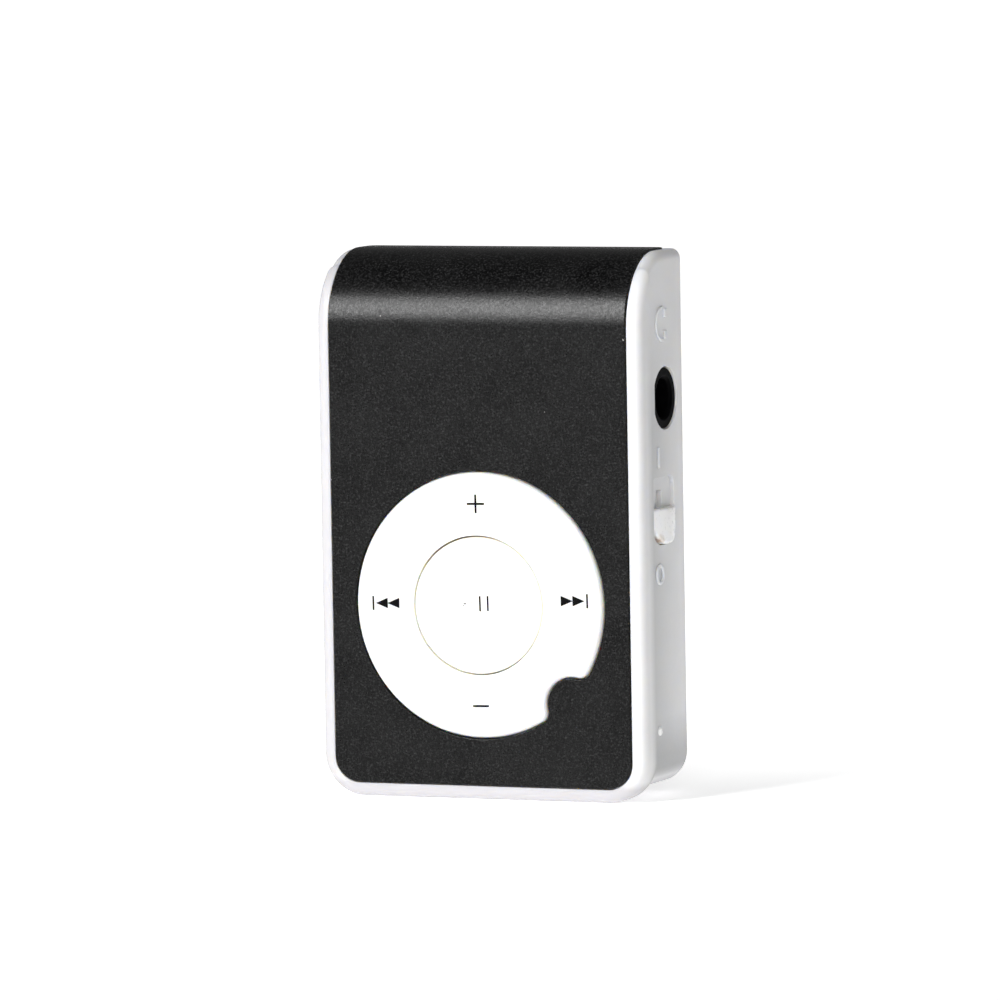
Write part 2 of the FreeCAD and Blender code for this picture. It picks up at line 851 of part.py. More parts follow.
def bore_ears(body, name, radius):
    bore = new_sketch(body, name, "YZ_Plane", 0)
    add_circle(bore, at_depth(size.pin_depth), size.pin_z, radius)
    pocket(body, bore, (size.ear_far_x + PAST) * 2, both=True)


def make_rear_shell():
    """White tub that closes the player from behind, with ears for the clip's pin."""
    body = new_body("rear_shell")
    outer = size.top_bend - size.plate_proud
    half = size.body_width / 2 - size.rear_side_step
    front = at_depth(size.frame_depth)
    back = at_depth(size.body_depth)
    top = size.body_height - size.plate_proud
    profile = new_sketch(body, "shell_profile", "YZ_Plane", 0)
    add_outline(profile, [
        (front, size.rear_bottom_step),
        (back, size.rear_bottom_step),
        (back, top),
        (at_depth(size.top_bend), top, outer, "left"),
        (front, height_on_bend(outer, size.frame_depth)),
    ])
    pad(body, profile, half * 2, both=True)
    fillet(body, "low_corners", size.rear_corner,
           lambda edge: lies_along(edge, "y") and at_z(edge, size.rear_bottom_step.value))
    fillet(body, "top_sides", size.rear_top_round,
           lambda edge: near(abs(edge.CenterOfMass.x), half.value)
           and edge.BoundBox.ZMin > bend_z().value + PAST
           and not lies_along(edge, "z"))
    fillet(body, "back_round", size.rear_round, lambda edge: at_y(edge, back.value))
    cut_plate_recess(body, "shell_bed", size.plate_reach + size.running_gap)
    inner_bend = size.top_bend - recess_depth() - size.rear_wall
    floor = size.rear_bottom_step + size.rear_wall
    inside = new_sketch(body, "shell_inside", "YZ_Plane", 0)
    add_outline(inside, [
        (front - PAST, floor),
        (back - size.rear_wall, floor),
        (back - size.rear_wall, bend_z() + inner_bend),
        (at_depth(size.top_bend), bend_z() + inner_bend, inner_bend, "left"),
        (front - PAST, height_on_bend(inner_bend, size.frame_depth - PAST)),
    ])
    inner_half = half - size.rear_wall
    pocket(body, inside, inner_half * 2, both=True)
    fillet(body, "inside_corners", size.rear_corner - size.rear_wall,
           lambda edge: lies_along(edge, "y") and at_z(edge, floor.value))
    for side, left in (("left", -inner_half - size.lip_thick), ("right", inner_half)):
        lip = new_sketch(body, f"shell_lip_{side}", "XZ_Plane", front)
        add_rectangle(lip, left, left + size.lip_thick, size.lip_low, size.lip_high)
        pad(body, lip, size.lip_length)
    cut_side_openings(body)
    for side, near_x in (("left", -size.ear_far_x), ("right", size.ear_near_x)):
        add_ear(body, f"shell_ear_{side}", near_x, near_x + size.ear_far_x - size.ear_near_x,
                size.body_depth - size.ear_rooted)
    bore_ears(body, "shell_ear_bore", size.pin_radius)


# ---- controls ----------------------------------------------------------------------------------------


def make_control_ring():
    """Rocking ring with a bite in its lower right, four plungers and two ribs on the gimbal."""
    body = new_body("control_ring")
    face = at_depth(-size.ring_proud)
    flange_front = at_depth(size.ring_flange_depth)
    back_depth = size.ring_flange_depth + size.ring_flange_thick
    back = at_depth(back_depth)
    plate = new_sketch(body, "ring_outline", "XZ_Plane", face)
    add_bitten_circle(plate, 0)
    pad(body, plate, size.ring_flange_depth + size.ring_proud, back=True)
    fillet(body, "front_round", size.ring_round, lambda edge: at_y(edge, face.value))
    flange = new_sketch(body, "ring_flange", "XZ_Plane", flange_front)
    add_circle(flange, 0, size.wheel_z, size.ring_flange_radius)
    pad(body, flange, size.ring_flange_thick, back=True)
    button = new_sketch(body, "ring_button_hole", "XZ_Plane", back)
    add_circle(button, 0, size.wheel_z, size.button_radius + size.button_gap)
    pocket(body, button, back_depth + size.ring_proud + PAST, back=True)
    wide = new_sketch(body, "ring_wide_hollow", "XZ_Plane", back)
    add_circle(wide, 0, size.wheel_z, size.ring_hollow_radius)
    pocket(body, wide, back_depth - size.ring_skirt_depth, back=True)
    deep = new_sketch(body, "ring_deep_hollow", "XZ_Plane", at_depth(size.ring_skirt_depth))
    add_circle(deep, 0, size.wheel_z, size.ring_hollow_radius)
    add_circle(deep, 0, size.wheel_z, size.ring_skirt_radius)
    skin_back = size.ring_skin - size.ring_proud
    pocket(body, deep, size.ring_skirt_depth - skin_back, back=True)
    plungers = new_sketch(body, "ring_plungers", "XZ_Plane", back)
    for x, z in ((1, 0), (-1, 0), (0, 1), (0, -1)):
        add_circle(plungers, size.plunger_away * x, size.wheel_z + size.plunger_away * z,
                   size.plunger_radius)
    pad(body, plungers, size.plunger_tip_depth - back_depth, back=True)
    ribs = new_sketch(body, "ring_ribs", "XZ_Plane", at_depth(skin_back))
    for side in (1, -1):
        add_circle(ribs, 0, size.wheel_z + size.pivot_away * side, size.pivot_radius)
    pad(body, ribs, size.gimbal_depth - size.pivot_gap - skin_back, back=True)


def make_play_button():
    body = new_body("play_button")
    face = at_depth(-size.ring_proud)
    back_depth = size.button_flange_depth + size.button_flange_thick
    cap = new_sketch(body, "button_cap", "XZ_Plane", face)
    add_circle(cap, 0, size.wheel_z, size.button_radius)
    pad(body, cap, size.button_flange_depth + size.ring_proud, back=True)
    fillet(body, "front_round", size.button_round, lambda edge: at_y(edge, face.value))
    flange = new_sketch(body, "button_flange", "XZ_Plane", at_depth(size.button_flange_depth))
    add_circle(flange, 0, size.wheel_z, size.button_flange_radius)
    pad(body, flange, size.button_flange_thick, back=True)
    skin_back = size.button_skin - size.ring_proud
    hollow = new_sketch(body, "button_hollow", "XZ_Plane", at_depth(back_depth))
    add_circle(hollow, 0, size.wheel_z, size.button_hollow_radius)
    pocket(body, hollow, back_depth - skin_back, back=True)
    plunger = new_sketch(body, "button_plunger", "XZ_Plane", at_depth(skin_back))
    add_circle(plunger, 0, size.wheel_z, size.button_plunger_radius)
    pad(body, plunger, size.plunger_tip_depth - skin_back, back=True)


def make_gimbal():
    """Washer that rocks on two posts, and on which the ring rocks the other way."""
    ends = depths(size.gimbal_depth, size.gimbal_depth + size.gimbal_thick)
    centre = (0, size.wheel_z)
    disc = rod("gimbal_disc", "y", centre, size.gimbal_outer, ends)
    hole = rod("gimbal_hole", "y", centre, size.gimbal_inner, (ends[0] - PAST, ends[1] + PAST))
    keep("gimbal_washer", cut("gimbal_washer", disc, [hole]))
    top = size.gimbal_depth + size.gimbal_thick + size.pivot_gap
    posts = [
        rod(f"pivot_post_{side}", "y", (size.pivot_away * turn, size.wheel_z), size.pivot_radius,
            depths(top, size.board_depth))
        for side, turn in (("left", -1), ("right", 1))
    ]
    keep("pivot_posts", group("pivot_posts", posts))


def dome_places():
    """Name, place and base radius of each snap dome."""
    away = size.plunger_away
    return [
        ("dome_play", as_size(0), size.wheel_z, size.play_dome_radius),
        ("dome_plus", as_size(0), size.wheel_z + away, size.dome_radius),
        ("dome_minus", as_size(0), size.wheel_z - away, size.dome_radius),
        ("dome_prev", -away, size.wheel_z, size.dome_radius),
        ("dome_next", away, size.wheel_z, size.dome_radius),
    ]


def make_domes():
    """Snap domes: thin spherical caps that stand on the board's front."""
    for name, x, z, radius in dome_places():
        body = new_body(name)
        rise = size.dome_rise
        ball = (radius * radius + rise * rise) / (rise * 2)
        foot = at_depth(size.board_depth)
        top = foot - rise
        profile = new_sketch(body, f"{name}_profile", "YZ_Plane", x)
        inner_radius = radius - size.dome_skin * 2
        inner_top = top + size.dome_skin
        inner_rise = rise - size.dome_skin
        inner_ball = (inner_radius * inner_radius + inner_rise * inner_rise) / (inner_rise * 2)
        add_outline(profile, [
            (top, z, ball, "left"),
            (foot, z - radius),
            (foot, z - inner_radius, inner_ball, "right"),
            (inner_top, z),
        ])
        axis = profile.addGeometry(Part.LineSegment(Vector(top.value, z.value, 0),
                                                    Vector(foot.value, z.value, 0)), True)
        fix_point(profile, axis, 1, top, z)
        fix_point(profile, axis, 2, foot, z)
        doc.recompute()
        add_feature(body, "Revolution", f"{name}_turn", Profile=profile,
                    ReferenceAxis=(profile, ["Axis0"]), Angle=360.0)


def make_dome_sheet():
    """Adhesive sheet that keeps the domes in place, open round each dome and pivot post."""
    ends = depths(size.board_depth - size.dome_sheet_thick, size.board_depth)
    through = (ends[0] - PAST, ends[1] + PAST)
    sheet = rod("dome_sheet_disc", "y", (0, size.wheel_z), size.dome_sheet_radius, ends)
    gap = size.running_gap / 2
    holes = [rod(f"{name}_hole", "y", (x, z), radius + gap, through) for name, x, z, radius in dome_places()]
    for side, turn in (("left", -1), ("right", 1)):
        holes.append(rod(f"post_hole_{side}", "y", (size.pivot_away * turn, size.wheel_z),
                         size.pivot_radius + gap, through))
    keep("dome_sheet", cut("dome_sheet", sheet, holes))


# ---- main board and what is soldered to it -----------------------------------------------------------


def board_back():
    return size.board_depth + size.board_thick


def make_main_board():
    body = new_body("main_board")
    outline = new_sketch(body, "board_outline", "XZ_Plane", at_depth(size.board_depth))
    add_rectangle(outline, -size.board_half, size.board_half, size.board_low, size.board_high,
                  size.board_corner)
    pad(body, outline, size.board_thick, back=True)
    holes = new_sketch(body, "board_screw_holes", "XZ_Plane", at_depth(board_back() + PAST))
    for x, z in BOSS_PLACES:
        add_circle(holes, x, z, size.screw_hole_radius)
    pocket(body, holes, size.board_thick + PAST * 2, back=True)
    notch = new_sketch(body, "board_jack_notch", "XZ_Plane", at_depth(board_back() + PAST))
    half = size.jack_half_height + size.jack_board_gap
    add_rectangle(notch, size.jack_body_end - size.jack_board_gap, size.board_half + PAST,
                  size.jack_z - half, size.jack_z + half)
    pocket(body, notch, size.board_thick + PAST * 2, back=True)


def make_board_screws():
    """Small self-tapping screws that hold the board to the frame's bosses."""
    screws = []
    for number, (x, z) in enumerate(BOSS_PLACES):
        head_ends = depths(board_back(), board_back() + size.screw_head_thick)
        head = rod(f"screw_head_{number}", "y", (x, z), size.screw_head_radius, head_ends)
        shank = rod(f"screw_shank_{number}", "y", (x, z), size.screw_radius,
                    (at_depth(board_back() - size.screw_reach), head_ends[0]))
        half_slot = size.screw_slot / 2
        slot = block(f"screw_slot_{number}", (-half_slot + x, half_slot + x),
                     (head_ends[1] - size.screw_slot, head_ends[1] + PAST),
                     (-size.screw_head_radius + z, size.screw_head_radius + z))
        screws.append(cut(f"screw_{number}", join(f"screw_body_{number}", [head, shank]), [slot]))
    keep("board_screws", group("board_screws", screws))


def span(middle, half):
    """The (low, high) pair that lies this far either side of a middle."""
    return middle - half, middle + half


def make_chips():
    """Decoder in a square package with leads, amplifier in a small package, crystal and flat parts."""
    make_decoder()
    make_amplifier()
    back = board_back()
    keep("crystal", block("crystal", (size.crystal_left, size.crystal_right),
                          depths(back, back + size.crystal_high), (size.crystal_low, size.crystal_top)))
    make_flat_parts()


def make_decoder():
    back = board_back()
    x, z, half = size.decoder_x, size.decoder_z, size.decoder_half
    lead_y = depths(back, back + size.lead_thick)
    pieces = [block("decoder_case", span(x, half),
                    depths(back + size.chip_lift, back + size.decoder_high), span(z, half))]
    for number in range(DECODER_LEADS):
        along = size.decoder_lead_pitch * (number - (DECODER_LEADS - 1) / 2)
        for side in (-1, 1):
            middle = (half + size.decoder_lead_long / 2) * side
            reach = size.decoder_lead_long / 2
            pieces.append(block(f"decoder_lead_x{number}_{side}", span(x + middle, reach), lead_y,
                                span(z + along, size.decoder_lead_half)))
            pieces.append(block(f"decoder_lead_z{number}_{side}", span(x + along, size.decoder_lead_half),
                                lead_y, span(z + middle, reach)))
    keep("decoder_chip", group("decoder_chip", pieces))


def make_amplifier():
    back = board_back()
    lead_y = depths(back, back + size.lead_thick)
    pieces = [block("amp_case", (size.amp_left, size.amp_right),
                    depths(back + size.chip_lift, back + size.amp_high), (size.amp_low, size.amp_top))]
    middle = (size.amp_left + size.amp_right) / 2
    for number in range(AMP_LEADS):
        x = middle + size.amp_lead_pitch * (number - (AMP_LEADS - 1) / 2)
        across = span(x, size.amp_lead_half)
        pieces.append(block(f"amp_lead_low_{number}", across, lead_y,
                            (size.amp_low - size.amp_lead_long, size.amp_low)))
        pieces.append(block(f"amp_lead_high_{number}", across, lead_y,
                            (size.amp_top, size.amp_top + size.amp_lead_long)))
    keep("amplifier_chip", group("amplifier_chip", pieces))


def make_flat_parts():
    """Capacitors and resistors, in a block at the left and a row at the right."""
    back = board_back()
    places = [(size.flat_left + size.flat_column_pitch * column, size.flat_low + size.flat_row_pitch * row)
              for column in range(FLAT_COLUMNS) for row in range(FLAT_ROWS)]
    places += [(size.flat_right, size.flat_right_low + size.flat_right_pitch * row)
               for row in range(FLAT_RIGHT_ROWS)]
    pieces = [
        block(f"flat_part_{number}", (x, x + size.flat_long), depths(back, back + size.flat_high),
              (z, z + size.flat_wide))
        for number, (x, z) in enumerate(places)
    ]
    keep("small_board_parts", group("small_board_parts", pieces))


def make_headphone_jack():
    """3.5 mm jack sunk in a notch of the board, its D-shaped nose in the shell's opening, with three
    leaf contacts."""
    y = at_depth(size.jack_depth)
    centre = (y, size.jack_z)
    case = block("jack_case", (size.jack_body_end, size.jack_nose_start),
                 (y - size.jack_half_depth, y + size.jack_half_depth),
                 (size.jack_z - size.jack_half_height, size.jack_z + size.jack_half_height))
    round_nose = rod("jack_round_nose", "x", centre, size.jack_nose_radius,
                     (size.jack_nose_start, size.jack_nose_end))
    nose_reach = size.jack_nose_radius + PAST
    flat = block("jack_nose_flat", (size.jack_nose_start - PAST, size.jack_nose_end + PAST),
                 (y - nose_reach, y - size.jack_nose_flat), span(size.jack_z, nose_reach))
    nose = cut("jack_nose", round_nose, [flat])
    bore = rod("jack_hole", "x", centre, size.jack_bore, (size.jack_bore_end, size.jack_nose_end + PAST))
    lead_in = doc.addObject("Part::Cone", "jack_lead_in")
    lead_in.Placement = FreeCAD.Placement(Vector(), Rotation(Vector(0, 1, 0), 90))
    bind(lead_in, "Radius1", size.jack_bore)
    bind(lead_in, "Radius2", size.jack_bore + size.jack_lead_in)
    bind(lead_in, "Height", size.jack_lead_in)
    bind(lead_in, "Placement.Base.x", size.jack_nose_end - size.jack_lead_in)
    bind(lead_in, "Placement.Base.y", y)
    bind(lead_in, "Placement.Base.z", size.jack_z)
    slots = []
    leaves = []
    for number, (x, side) in enumerate(LEAF_PLACES):
        slot, leaf = make_jack_leaf(number, as_size(x), side)
        slots.append(slot)
        leaves.append(leaf)
    solid = join("jack_solid", [case, nose])
    keep("jack_body", cut("jack_body", solid, [bore, lead_in] + slots))
    keep("jack_contacts", group("jack_contacts", leaves))


def make_jack_leaf(number, x, side):
    """A leaf contact above (side 1) or below (side -1) the bore, and the slot that holds it."""
    y = at_depth(size.jack_depth)
    leaf_middle = size.jack_z + (size.jack_bore + size.leaf_lift + size.leaf_thick / 2) * side
    slot_middle = size.jack_z + (size.jack_bore + size.leaf_slot_deep / 2) * side
    end = size.leaf_slot_end
    slot = block(f"jack_slot_{number}", (x - end, x + size.leaf_long + end),
                 (y - size.leaf_front - size.leaf_slot_margin, y + size.leaf_back + size.leaf_slot_margin),
                 span(slot_middle, size.leaf_slot_deep / 2))
    leaf = block(f"jack_leaf_{number}", (x, x + size.leaf_long),
                 (y - size.leaf_front, y + size.leaf_back), span(leaf_middle, size.leaf_thick / 2))
    return slot, leaf


def make_card_socket():
    """Push-in memory card socket: moulded base with side rails, folded steel cover and eight contacts."""
    front = board_back()
    skin = size.card_skin
    inner = (size.card_outer_x + skin, size.card_inner_x - skin)
    base_z = (size.card_low + skin, size.card_high - skin)
    floor_back = front + size.card_base_thick
    rail_back = front + size.card_tall - skin
    floor = block("card_floor", inner, depths(front, floor_back), base_z)
    rails = [
        block("card_rail_low", inner, depths(front, rail_back), (base_z[0], base_z[0] + size.card_rail)),
        block("card_rail_high", inner, depths(front, rail_back), (base_z[1] - size.card_rail, base_z[1])),
        block("card_stop", (inner[1] - size.card_stop_thick, inner[1]), depths(front, rail_back), base_z),
    ]
    grooves = []
    strips = []
    groove_front = floor_back - size.card_groove_deep
    for number in range(CARD_CONTACTS):
        z = size.card_low + size.card_first_contact + size.card_contact_pitch * number
        grooves.append(block(f"card_groove_{number}", (inner[0] + size.card_groove_start, inner[1] + PAST),
                             depths(groove_front, floor_back + size.card_tall),
                             span(z, size.card_groove_half)))
        strips.append(block(f"card_strip_{number}",
                            (inner[0] + size.card_contact_start, inner[1] - size.card_contact_end),
                            depths(groove_front, groove_front + size.card_contact_thick),
                            span(z, size.card_contact_half)))
    keep("card_socket_base", cut("card_socket_base", join("card_base_solid", [floor] + rails), grooves))
    keep("card_contacts", group("card_contacts", strips))
    shell = block("card_cover_solid", (size.card_outer_x, size.card_inner_x),
                  depths(front, front + size.card_tall), (size.card_low, size.card_high))
    hollow = block("card_cover_hollow", (size.card_outer_x - PAST, size.card_inner_x - skin),
                   depths(front - PAST, rail_back), base_z)
    window = rod("card_cover_window", "y",
                 (size.card_inner_x - size.card_window_x, size.card_low + size.card_window_z),
                 size.card_window_radius, depths(front, front + size.card_tall + PAST))
    keep("card_socket_cover", cut("card_socket_cover", shell, [hollow, window]))


def make_usb_socket():
    """Mini USB socket at the lower edge: folded steel shell, moulded tongue and five contacts."""
    body = new_body("usb_shell")
    front = board_back()
    half = size.usb_half
    skin = size.usb_skin
    chamfer = size.usb_chamfer
    far = front + size.usb_tall

    def mouth(sketch, grow):
        add_outline(sketch, [
            (-half - grow, at_depth(front - grow)),
            (half + grow, at_depth(front - grow)),
            (half + grow, at_depth(far - chamfer)),
            (half - chamfer + grow, at_depth(far + grow)),
            (-half + chamfer - grow, at_depth(far + grow)),
            (-half - grow, at_depth(far - chamfer)),
        ])

    outer = new_sketch(body, "usb_outer", "XY_Plane", size.usb_low)
    mouth(outer, as_size(0))
    pad(body, outer, size.usb_high - size.usb_low)
    inner = new_sketch(body, "usb_inner", "XY_Plane", size.usb_low - PAST)
    mouth(inner, -skin)
    pocket(body, inner, size.usb_high - size.usb_low + PAST * 2, back=True)
    root_z = size.usb_high - size.usb_root_long
    root = block("usb_root", span(as_size(0), half - chamfer - skin), depths(front + skin, far - skin),
                 (root_z, size.usb_high))
    middle = front + size.usb_tall / 2
    blade_front = middle - size.usb_tongue_half_thick
    blade = block("usb_tongue_blade", span(as_size(0), size.usb_tongue_half),
                  depths(blade_front, middle + size.usb_tongue_half_thick),
                  (size.usb_low + size.usb_tongue_start, root_z))
    grooves = []
    strips = []
    groove_floor = blade_front + size.usb_groove_deep
    for number in range(USB_CONTACTS):
        x = size.usb_contact_pitch * (number - (USB_CONTACTS - 1) / 2)
        grooves.append(block(f"usb_groove_{number}", span(x, size.usb_groove_half),
                             depths(blade_front - PAST, groove_floor),
                             (size.usb_low + size.usb_groove_start, root_z)))
        strips.append(block(f"usb_strip_{number}", span(x, size.usb_contact_half),
                            depths(blade_front, groove_floor),
                            (size.usb_low + size.usb_contact_start, root_z)))
    keep("usb_tongue", cut("usb_tongue", join("usb_tongue_solid", [root, blade]), grooves))
    keep("usb_contacts", group("usb_contacts", strips))


def make_slide_switch():
    """Slide switch: steel can on the board, slider with its lever and the shutter that hides the slot,
    and the crowned knob on the lever."""
    y = at_depth(size.knob_depth)
    skin = size.can_skin
    lever_y = (y - size.lever_half_depth, y + size.lever_half_depth)
    can = block("can_solid", (size.can_inner_x, size.can_outer_x),
                depths(size.can_front_depth, size.can_back_depth), (size.can_low, size.can_high))
    hollow = block("can_hollow", (size.can_inner_x + skin, size.can_outer_x - skin),
                   depths(size.can_front_depth + skin, size.can_back_depth - skin),
                   (size.can_low + skin, size.can_high - skin))
    margin = size.recess_margin
    window = block("can_window", (size.can_outer_x - PAST, size.can_outer_x + PAST),
                   (lever_y[0] - margin, lever_y[1] + margin),
                   (size.lever_low - margin, size.lever_high + size.switch_travel + margin))
    keep("switch_can", cut("switch_can", can, [hollow, window]))
    carriage = block("slider_carriage", (size.can_inner_x + skin * 2, size.lever_root_x),
                     depths(size.can_front_depth + skin * 2, size.can_back_depth - skin * 2),
                     (size.lever_low - size.carriage_margin, size.lever_high + size.carriage_margin))
    recess_floor = size.body_width / 2 - size.rear_side_step - size.recess_deep
    lever = block("slider_lever", (size.lever_root_x, recess_floor + size.lever_into_knob), lever_y,
                  (size.lever_low, size.lever_high))
    reach = size.switch_travel + size.shutter_margin
    shutter = block("slider_shutter", (size.shutter_inner_x, size.shutter_outer_x),
                    (y - size.shutter_half_depth, y + size.shutter_half_depth),
                    (size.lever_low - reach, size.lever_high + reach))
    keep("switch_slider", join("switch_slider", [carriage, lever, shutter]))
    body = new_body("switch_knob")
    start = recess_floor + size.running_gap
    outline = new_sketch(body, "knob_outline", "YZ_Plane", start)
    add_thumb_outline(outline, y, size.knob_half_depth, size.knob_low, size.knob_high, size.knob_corner,
                      size.knob_top_corner)
    pad(body, outline, size.knob_outer_x - start)
    reach = size.knob_half_depth + size.knob_round * 2
    edge_x = size.knob_outer_x - size.knob_crown + (size.knob_crown * size.knob_crown - reach * reach).root()
    crown = new_sketch(body, "knob_crown", "XY_Plane", size.knob_low - PAST)
    add_outline(crown, [
        (edge_x, y - reach, size.knob_crown, "left"),
        (edge_x, y + reach),
        (size.knob_outer_x + PAST, y + reach),
        (size.knob_outer_x + PAST, y - reach),
    ])
    pocket(body, crown, size.knob_high - size.knob_low + PAST * 2, back=True)
    fillet(body, "outer_round", size.knob_round, lambda edge: edge.BoundBox.XMin > start.value + 0.1)
    socket = new_sketch(body, "knob_socket", "YZ_Plane", start)
    add_rectangle(socket, lever_y[0], lever_y[1], size.lever_low, size.lever_high)
    pocket(body, socket, size.lever_into_knob - size.running_gap, back=True)


def make_light():
    """Indicator: a light-emitting chip on the board and a clear pin through the shell."""
    back = board_back()
    led_end = size.light_inner_x - size.led_gap
    keep("led", block("led", (led_end - size.led_thick, led_end), depths(back, back + size.led_high),
                      span(size.light_z, size.led_half)))
    body = new_body("light_pipe")
    pin = new_sketch(body, "light_pin", "YZ_Plane", size.light_inner_x)
    add_circle(pin, at_depth(size.light_depth), size.light_z, size.light_radius)
    pad(body, pin, size.light_outer_x - size.light_inner_x)
    fillet(body, "end_round", size.light_radius * 0.6, lambda edge: at_x(edge, size.light_outer_x.value))


# ---- battery -----------------------------------------------------------------------------------------


def make_battery():
    """Lithium pouch cell behind the board, the tape that holds it to the shell, and its two leads."""
    body = new_body("battery_cell")
    pouch = new_sketch(body, "cell_section", "XY_Plane", size.cell_low)
    add_rectangle(pouch, size.cell_left, size.cell_right, at_depth(size.cell_front_depth),
                  at_depth(size.cell_back_depth), size.cell_round)
    pad(body, pouch, size.cell_high - size.cell_low)
    inner_wall = size.body_depth - size.rear_wall
    margin = size.cell_tape_margin
    keep("battery_tape", block("battery_tape", (size.cell_left + margin, size.cell_right - margin),
                               depths(size.cell_back_depth, inner_wall),
                               (size.cell_low + margin, size.cell_high - margin)))
    for name, x in LEAD_PLACES.items():
        make_lead(name, as_size(x))


def make_lead(name, x):
    """A lead that leaves the cell downwards and bends forward to the board."""
    body = new_body(name)
    start_y = at_depth(size.cell_front_depth + size.lead_depth)
    end_y = at_depth(board_back())
    bend = size.lead_bend
    route = new_sketch(body, f"{name}_route", "YZ_Plane", x)
    down = route.addGeometry(Part.LineSegment(Vector(start_y.value, size.cell_low.value, 0),
                                              Vector(start_y.value, (size.lead_drop + bend).value, 0)))
    turn = route.addGeometry(arc_between(Vector(start_y.value, (size.lead_drop + bend).value, 0),
                                         Vector((start_y - bend).value, size.lead_drop.value, 0),
                                         bend.value, False))
    over = route.addGeometry(Part.LineSegment(Vector((start_y - bend).value, size.lead_drop.value, 0),
                                              Vector(end_y.value, size.lead_drop.value, 0)))
    fix_point(route, down, 1, start_y, size.cell_low)
    route.addConstraint(Sketcher.Constraint("Tangent", down, 2, turn, 2))
    route.addConstraint(Sketcher.Constraint("Tangent", turn, 1, over, 1))
    route.addConstraint(Sketcher.Constraint("Vertical", down))
    fix_radius(route, turn, bend)
    fix_point(route, over, 2, end_y, size.lead_drop)
    route.addConstraint(Sketcher.Constraint("Horizontal", over))
    section = new_sketch(body, f"{name}_section", "XY_Plane", size.cell_low)
    add_circle(section, x, start_y, size.lead_radius)
    doc.recompute()
    add_feature(body, "AdditivePipe", f"{name}_pipe", Profile=section, Spine=(route, []))


# ---- clip --------------------------------------------------------------------------------------------


def make_clip():
    """Spring clip on the back: the plate with its knuckles, the pin, and the torsion spring."""
    body = new_body("clip_plate")
    inner = at_depth(size.clip_inner_depth)
    outer = at_depth(size.clip_outer_depth)
    outline = new_sketch(body, "clip_outline", "XZ_Plane", inner)
    add_rectangle(outline, -size.clip_half, size.clip_half, size.clip_low, size.clip_high,
                  size.clip_corner)
    pad(body, outline, size.clip_outer_depth - size.clip_inner_depth, back=True)
    fillet(body, "outer_round", size.clip_round, lambda edge: at_y(edge, outer.value))
    rib = new_sketch(body, "clip_rib", "XZ_Plane", inner)
    add_rectangle(rib, -size.clip_rib_half, size.clip_rib_half, size.clip_rib_low, size.clip_rib_high)
    pad(body, rib, size.clip_inner_depth - size.clip_rib_depth)
    for side, near_x in (("left", -size.knuckle_far_x), ("right", size.knuckle_near_x)):
        add_ear(body, f"clip_knuckle_{side}", near_x, near_x + size.knuckle_far_x - size.knuckle_near_x,
                size.clip_inner_depth + size.ear_rooted)
    bore_ears(body, "clip_bore", size.pin_radius + size.pin_fit)
    keep("clip_pin", rod("clip_pin", "x", (at_depth(size.pin_depth), size.pin_z), size.pin_radius,
                         (-size.ear_far_x, size.ear_far_x)))
    make_clip_spring()


def make_clip_spring():
    """Torsion spring round the pin: one leg on the shell's back, the other on the clip plate's tail.
    It is made along Z and then laid on the pin, its first leg to the front."""
    wire = size.spring_wire.value
    leg = size.spring_leg.value
    pitch = size.spring_pitch.value
    long = pitch * size.spring_turns.value
    helix = Part.makeHelix(pitch, long, size.spring_coil.value)
    first, last = helix.Edges[0], helix.Edges[-1]
    start, end = first.valueAt(first.FirstParameter), last.valueAt(last.LastParameter)
    start_way, end_way = -first.tangentAt(first.FirstParameter), last.tangentAt(last.LastParameter)
    section = Part.Wire([Part.Edge(Part.Circle(start, start_way, wire))])
    pieces = [Part.Wire(helix.Edges).makePipeShell([section], True, True)]
    for point, way in ((start, start_way), (end, end_way)):
        pieces.append(Part.makeCylinder(wire, leg, point, way))
        pieces.append(Part.makeSphere(wire * WELD_BALL, point))
    spring = doc.addObject("Part::Feature", "clip_spring")
    spring.Shape = pieces[0].fuse(pieces[1:])
    lay_on_pin = Rotation(Vector(0, -1, 0), Vector(0, 0, -1), Vector(1, 0, 0), "XYZ")
    spring.Placement = FreeCAD.Placement(
        Vector(-long / 2, at_depth(size.pin_depth).value, size.pin_z.value), lay_on_pin)
    keep("clip_spring", spring)


# ---- the whole player --------------------------------------------------------------------------------


def check_document():
    doc.recompute()
    for piece in doc.Objects:
        if "Invalid" in piece.State or "Error" in piece.State:
            raise RuntimeError(f"{piece.Label} is {piece.State}")
    for name, piece in nodes.items():
        if piece.Shape.isNull() or not piece.Shape.isValid():
            raise RuntimeError(f"{name} has no valid shape")


def main():
    make_sheet()
    make_face_plate()
    make_plate_tape()
    make_front_frame()
    make_rear_shell()
    make_control_ring()
    make_play_button()
    make_gimbal()
    make_domes()
    make_dome_sheet()
    make_main_board()
    make_board_screws()
    make_chips()
    make_headphone_jack()
    make_card_socket()
    make_usb_socket()
    make_slide_switch()
    make_light()
    make_battery()
    make_clip()
    check_document()
    os.makedirs("parts", exist_ok=True)
    for name, piece in nodes.items():
        piece.Shape.exportStep(f"parts/{name}.step")


main()
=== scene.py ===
import json
import math
import random

import bmesh
import bpy
from mathutils import Matrix, Vector

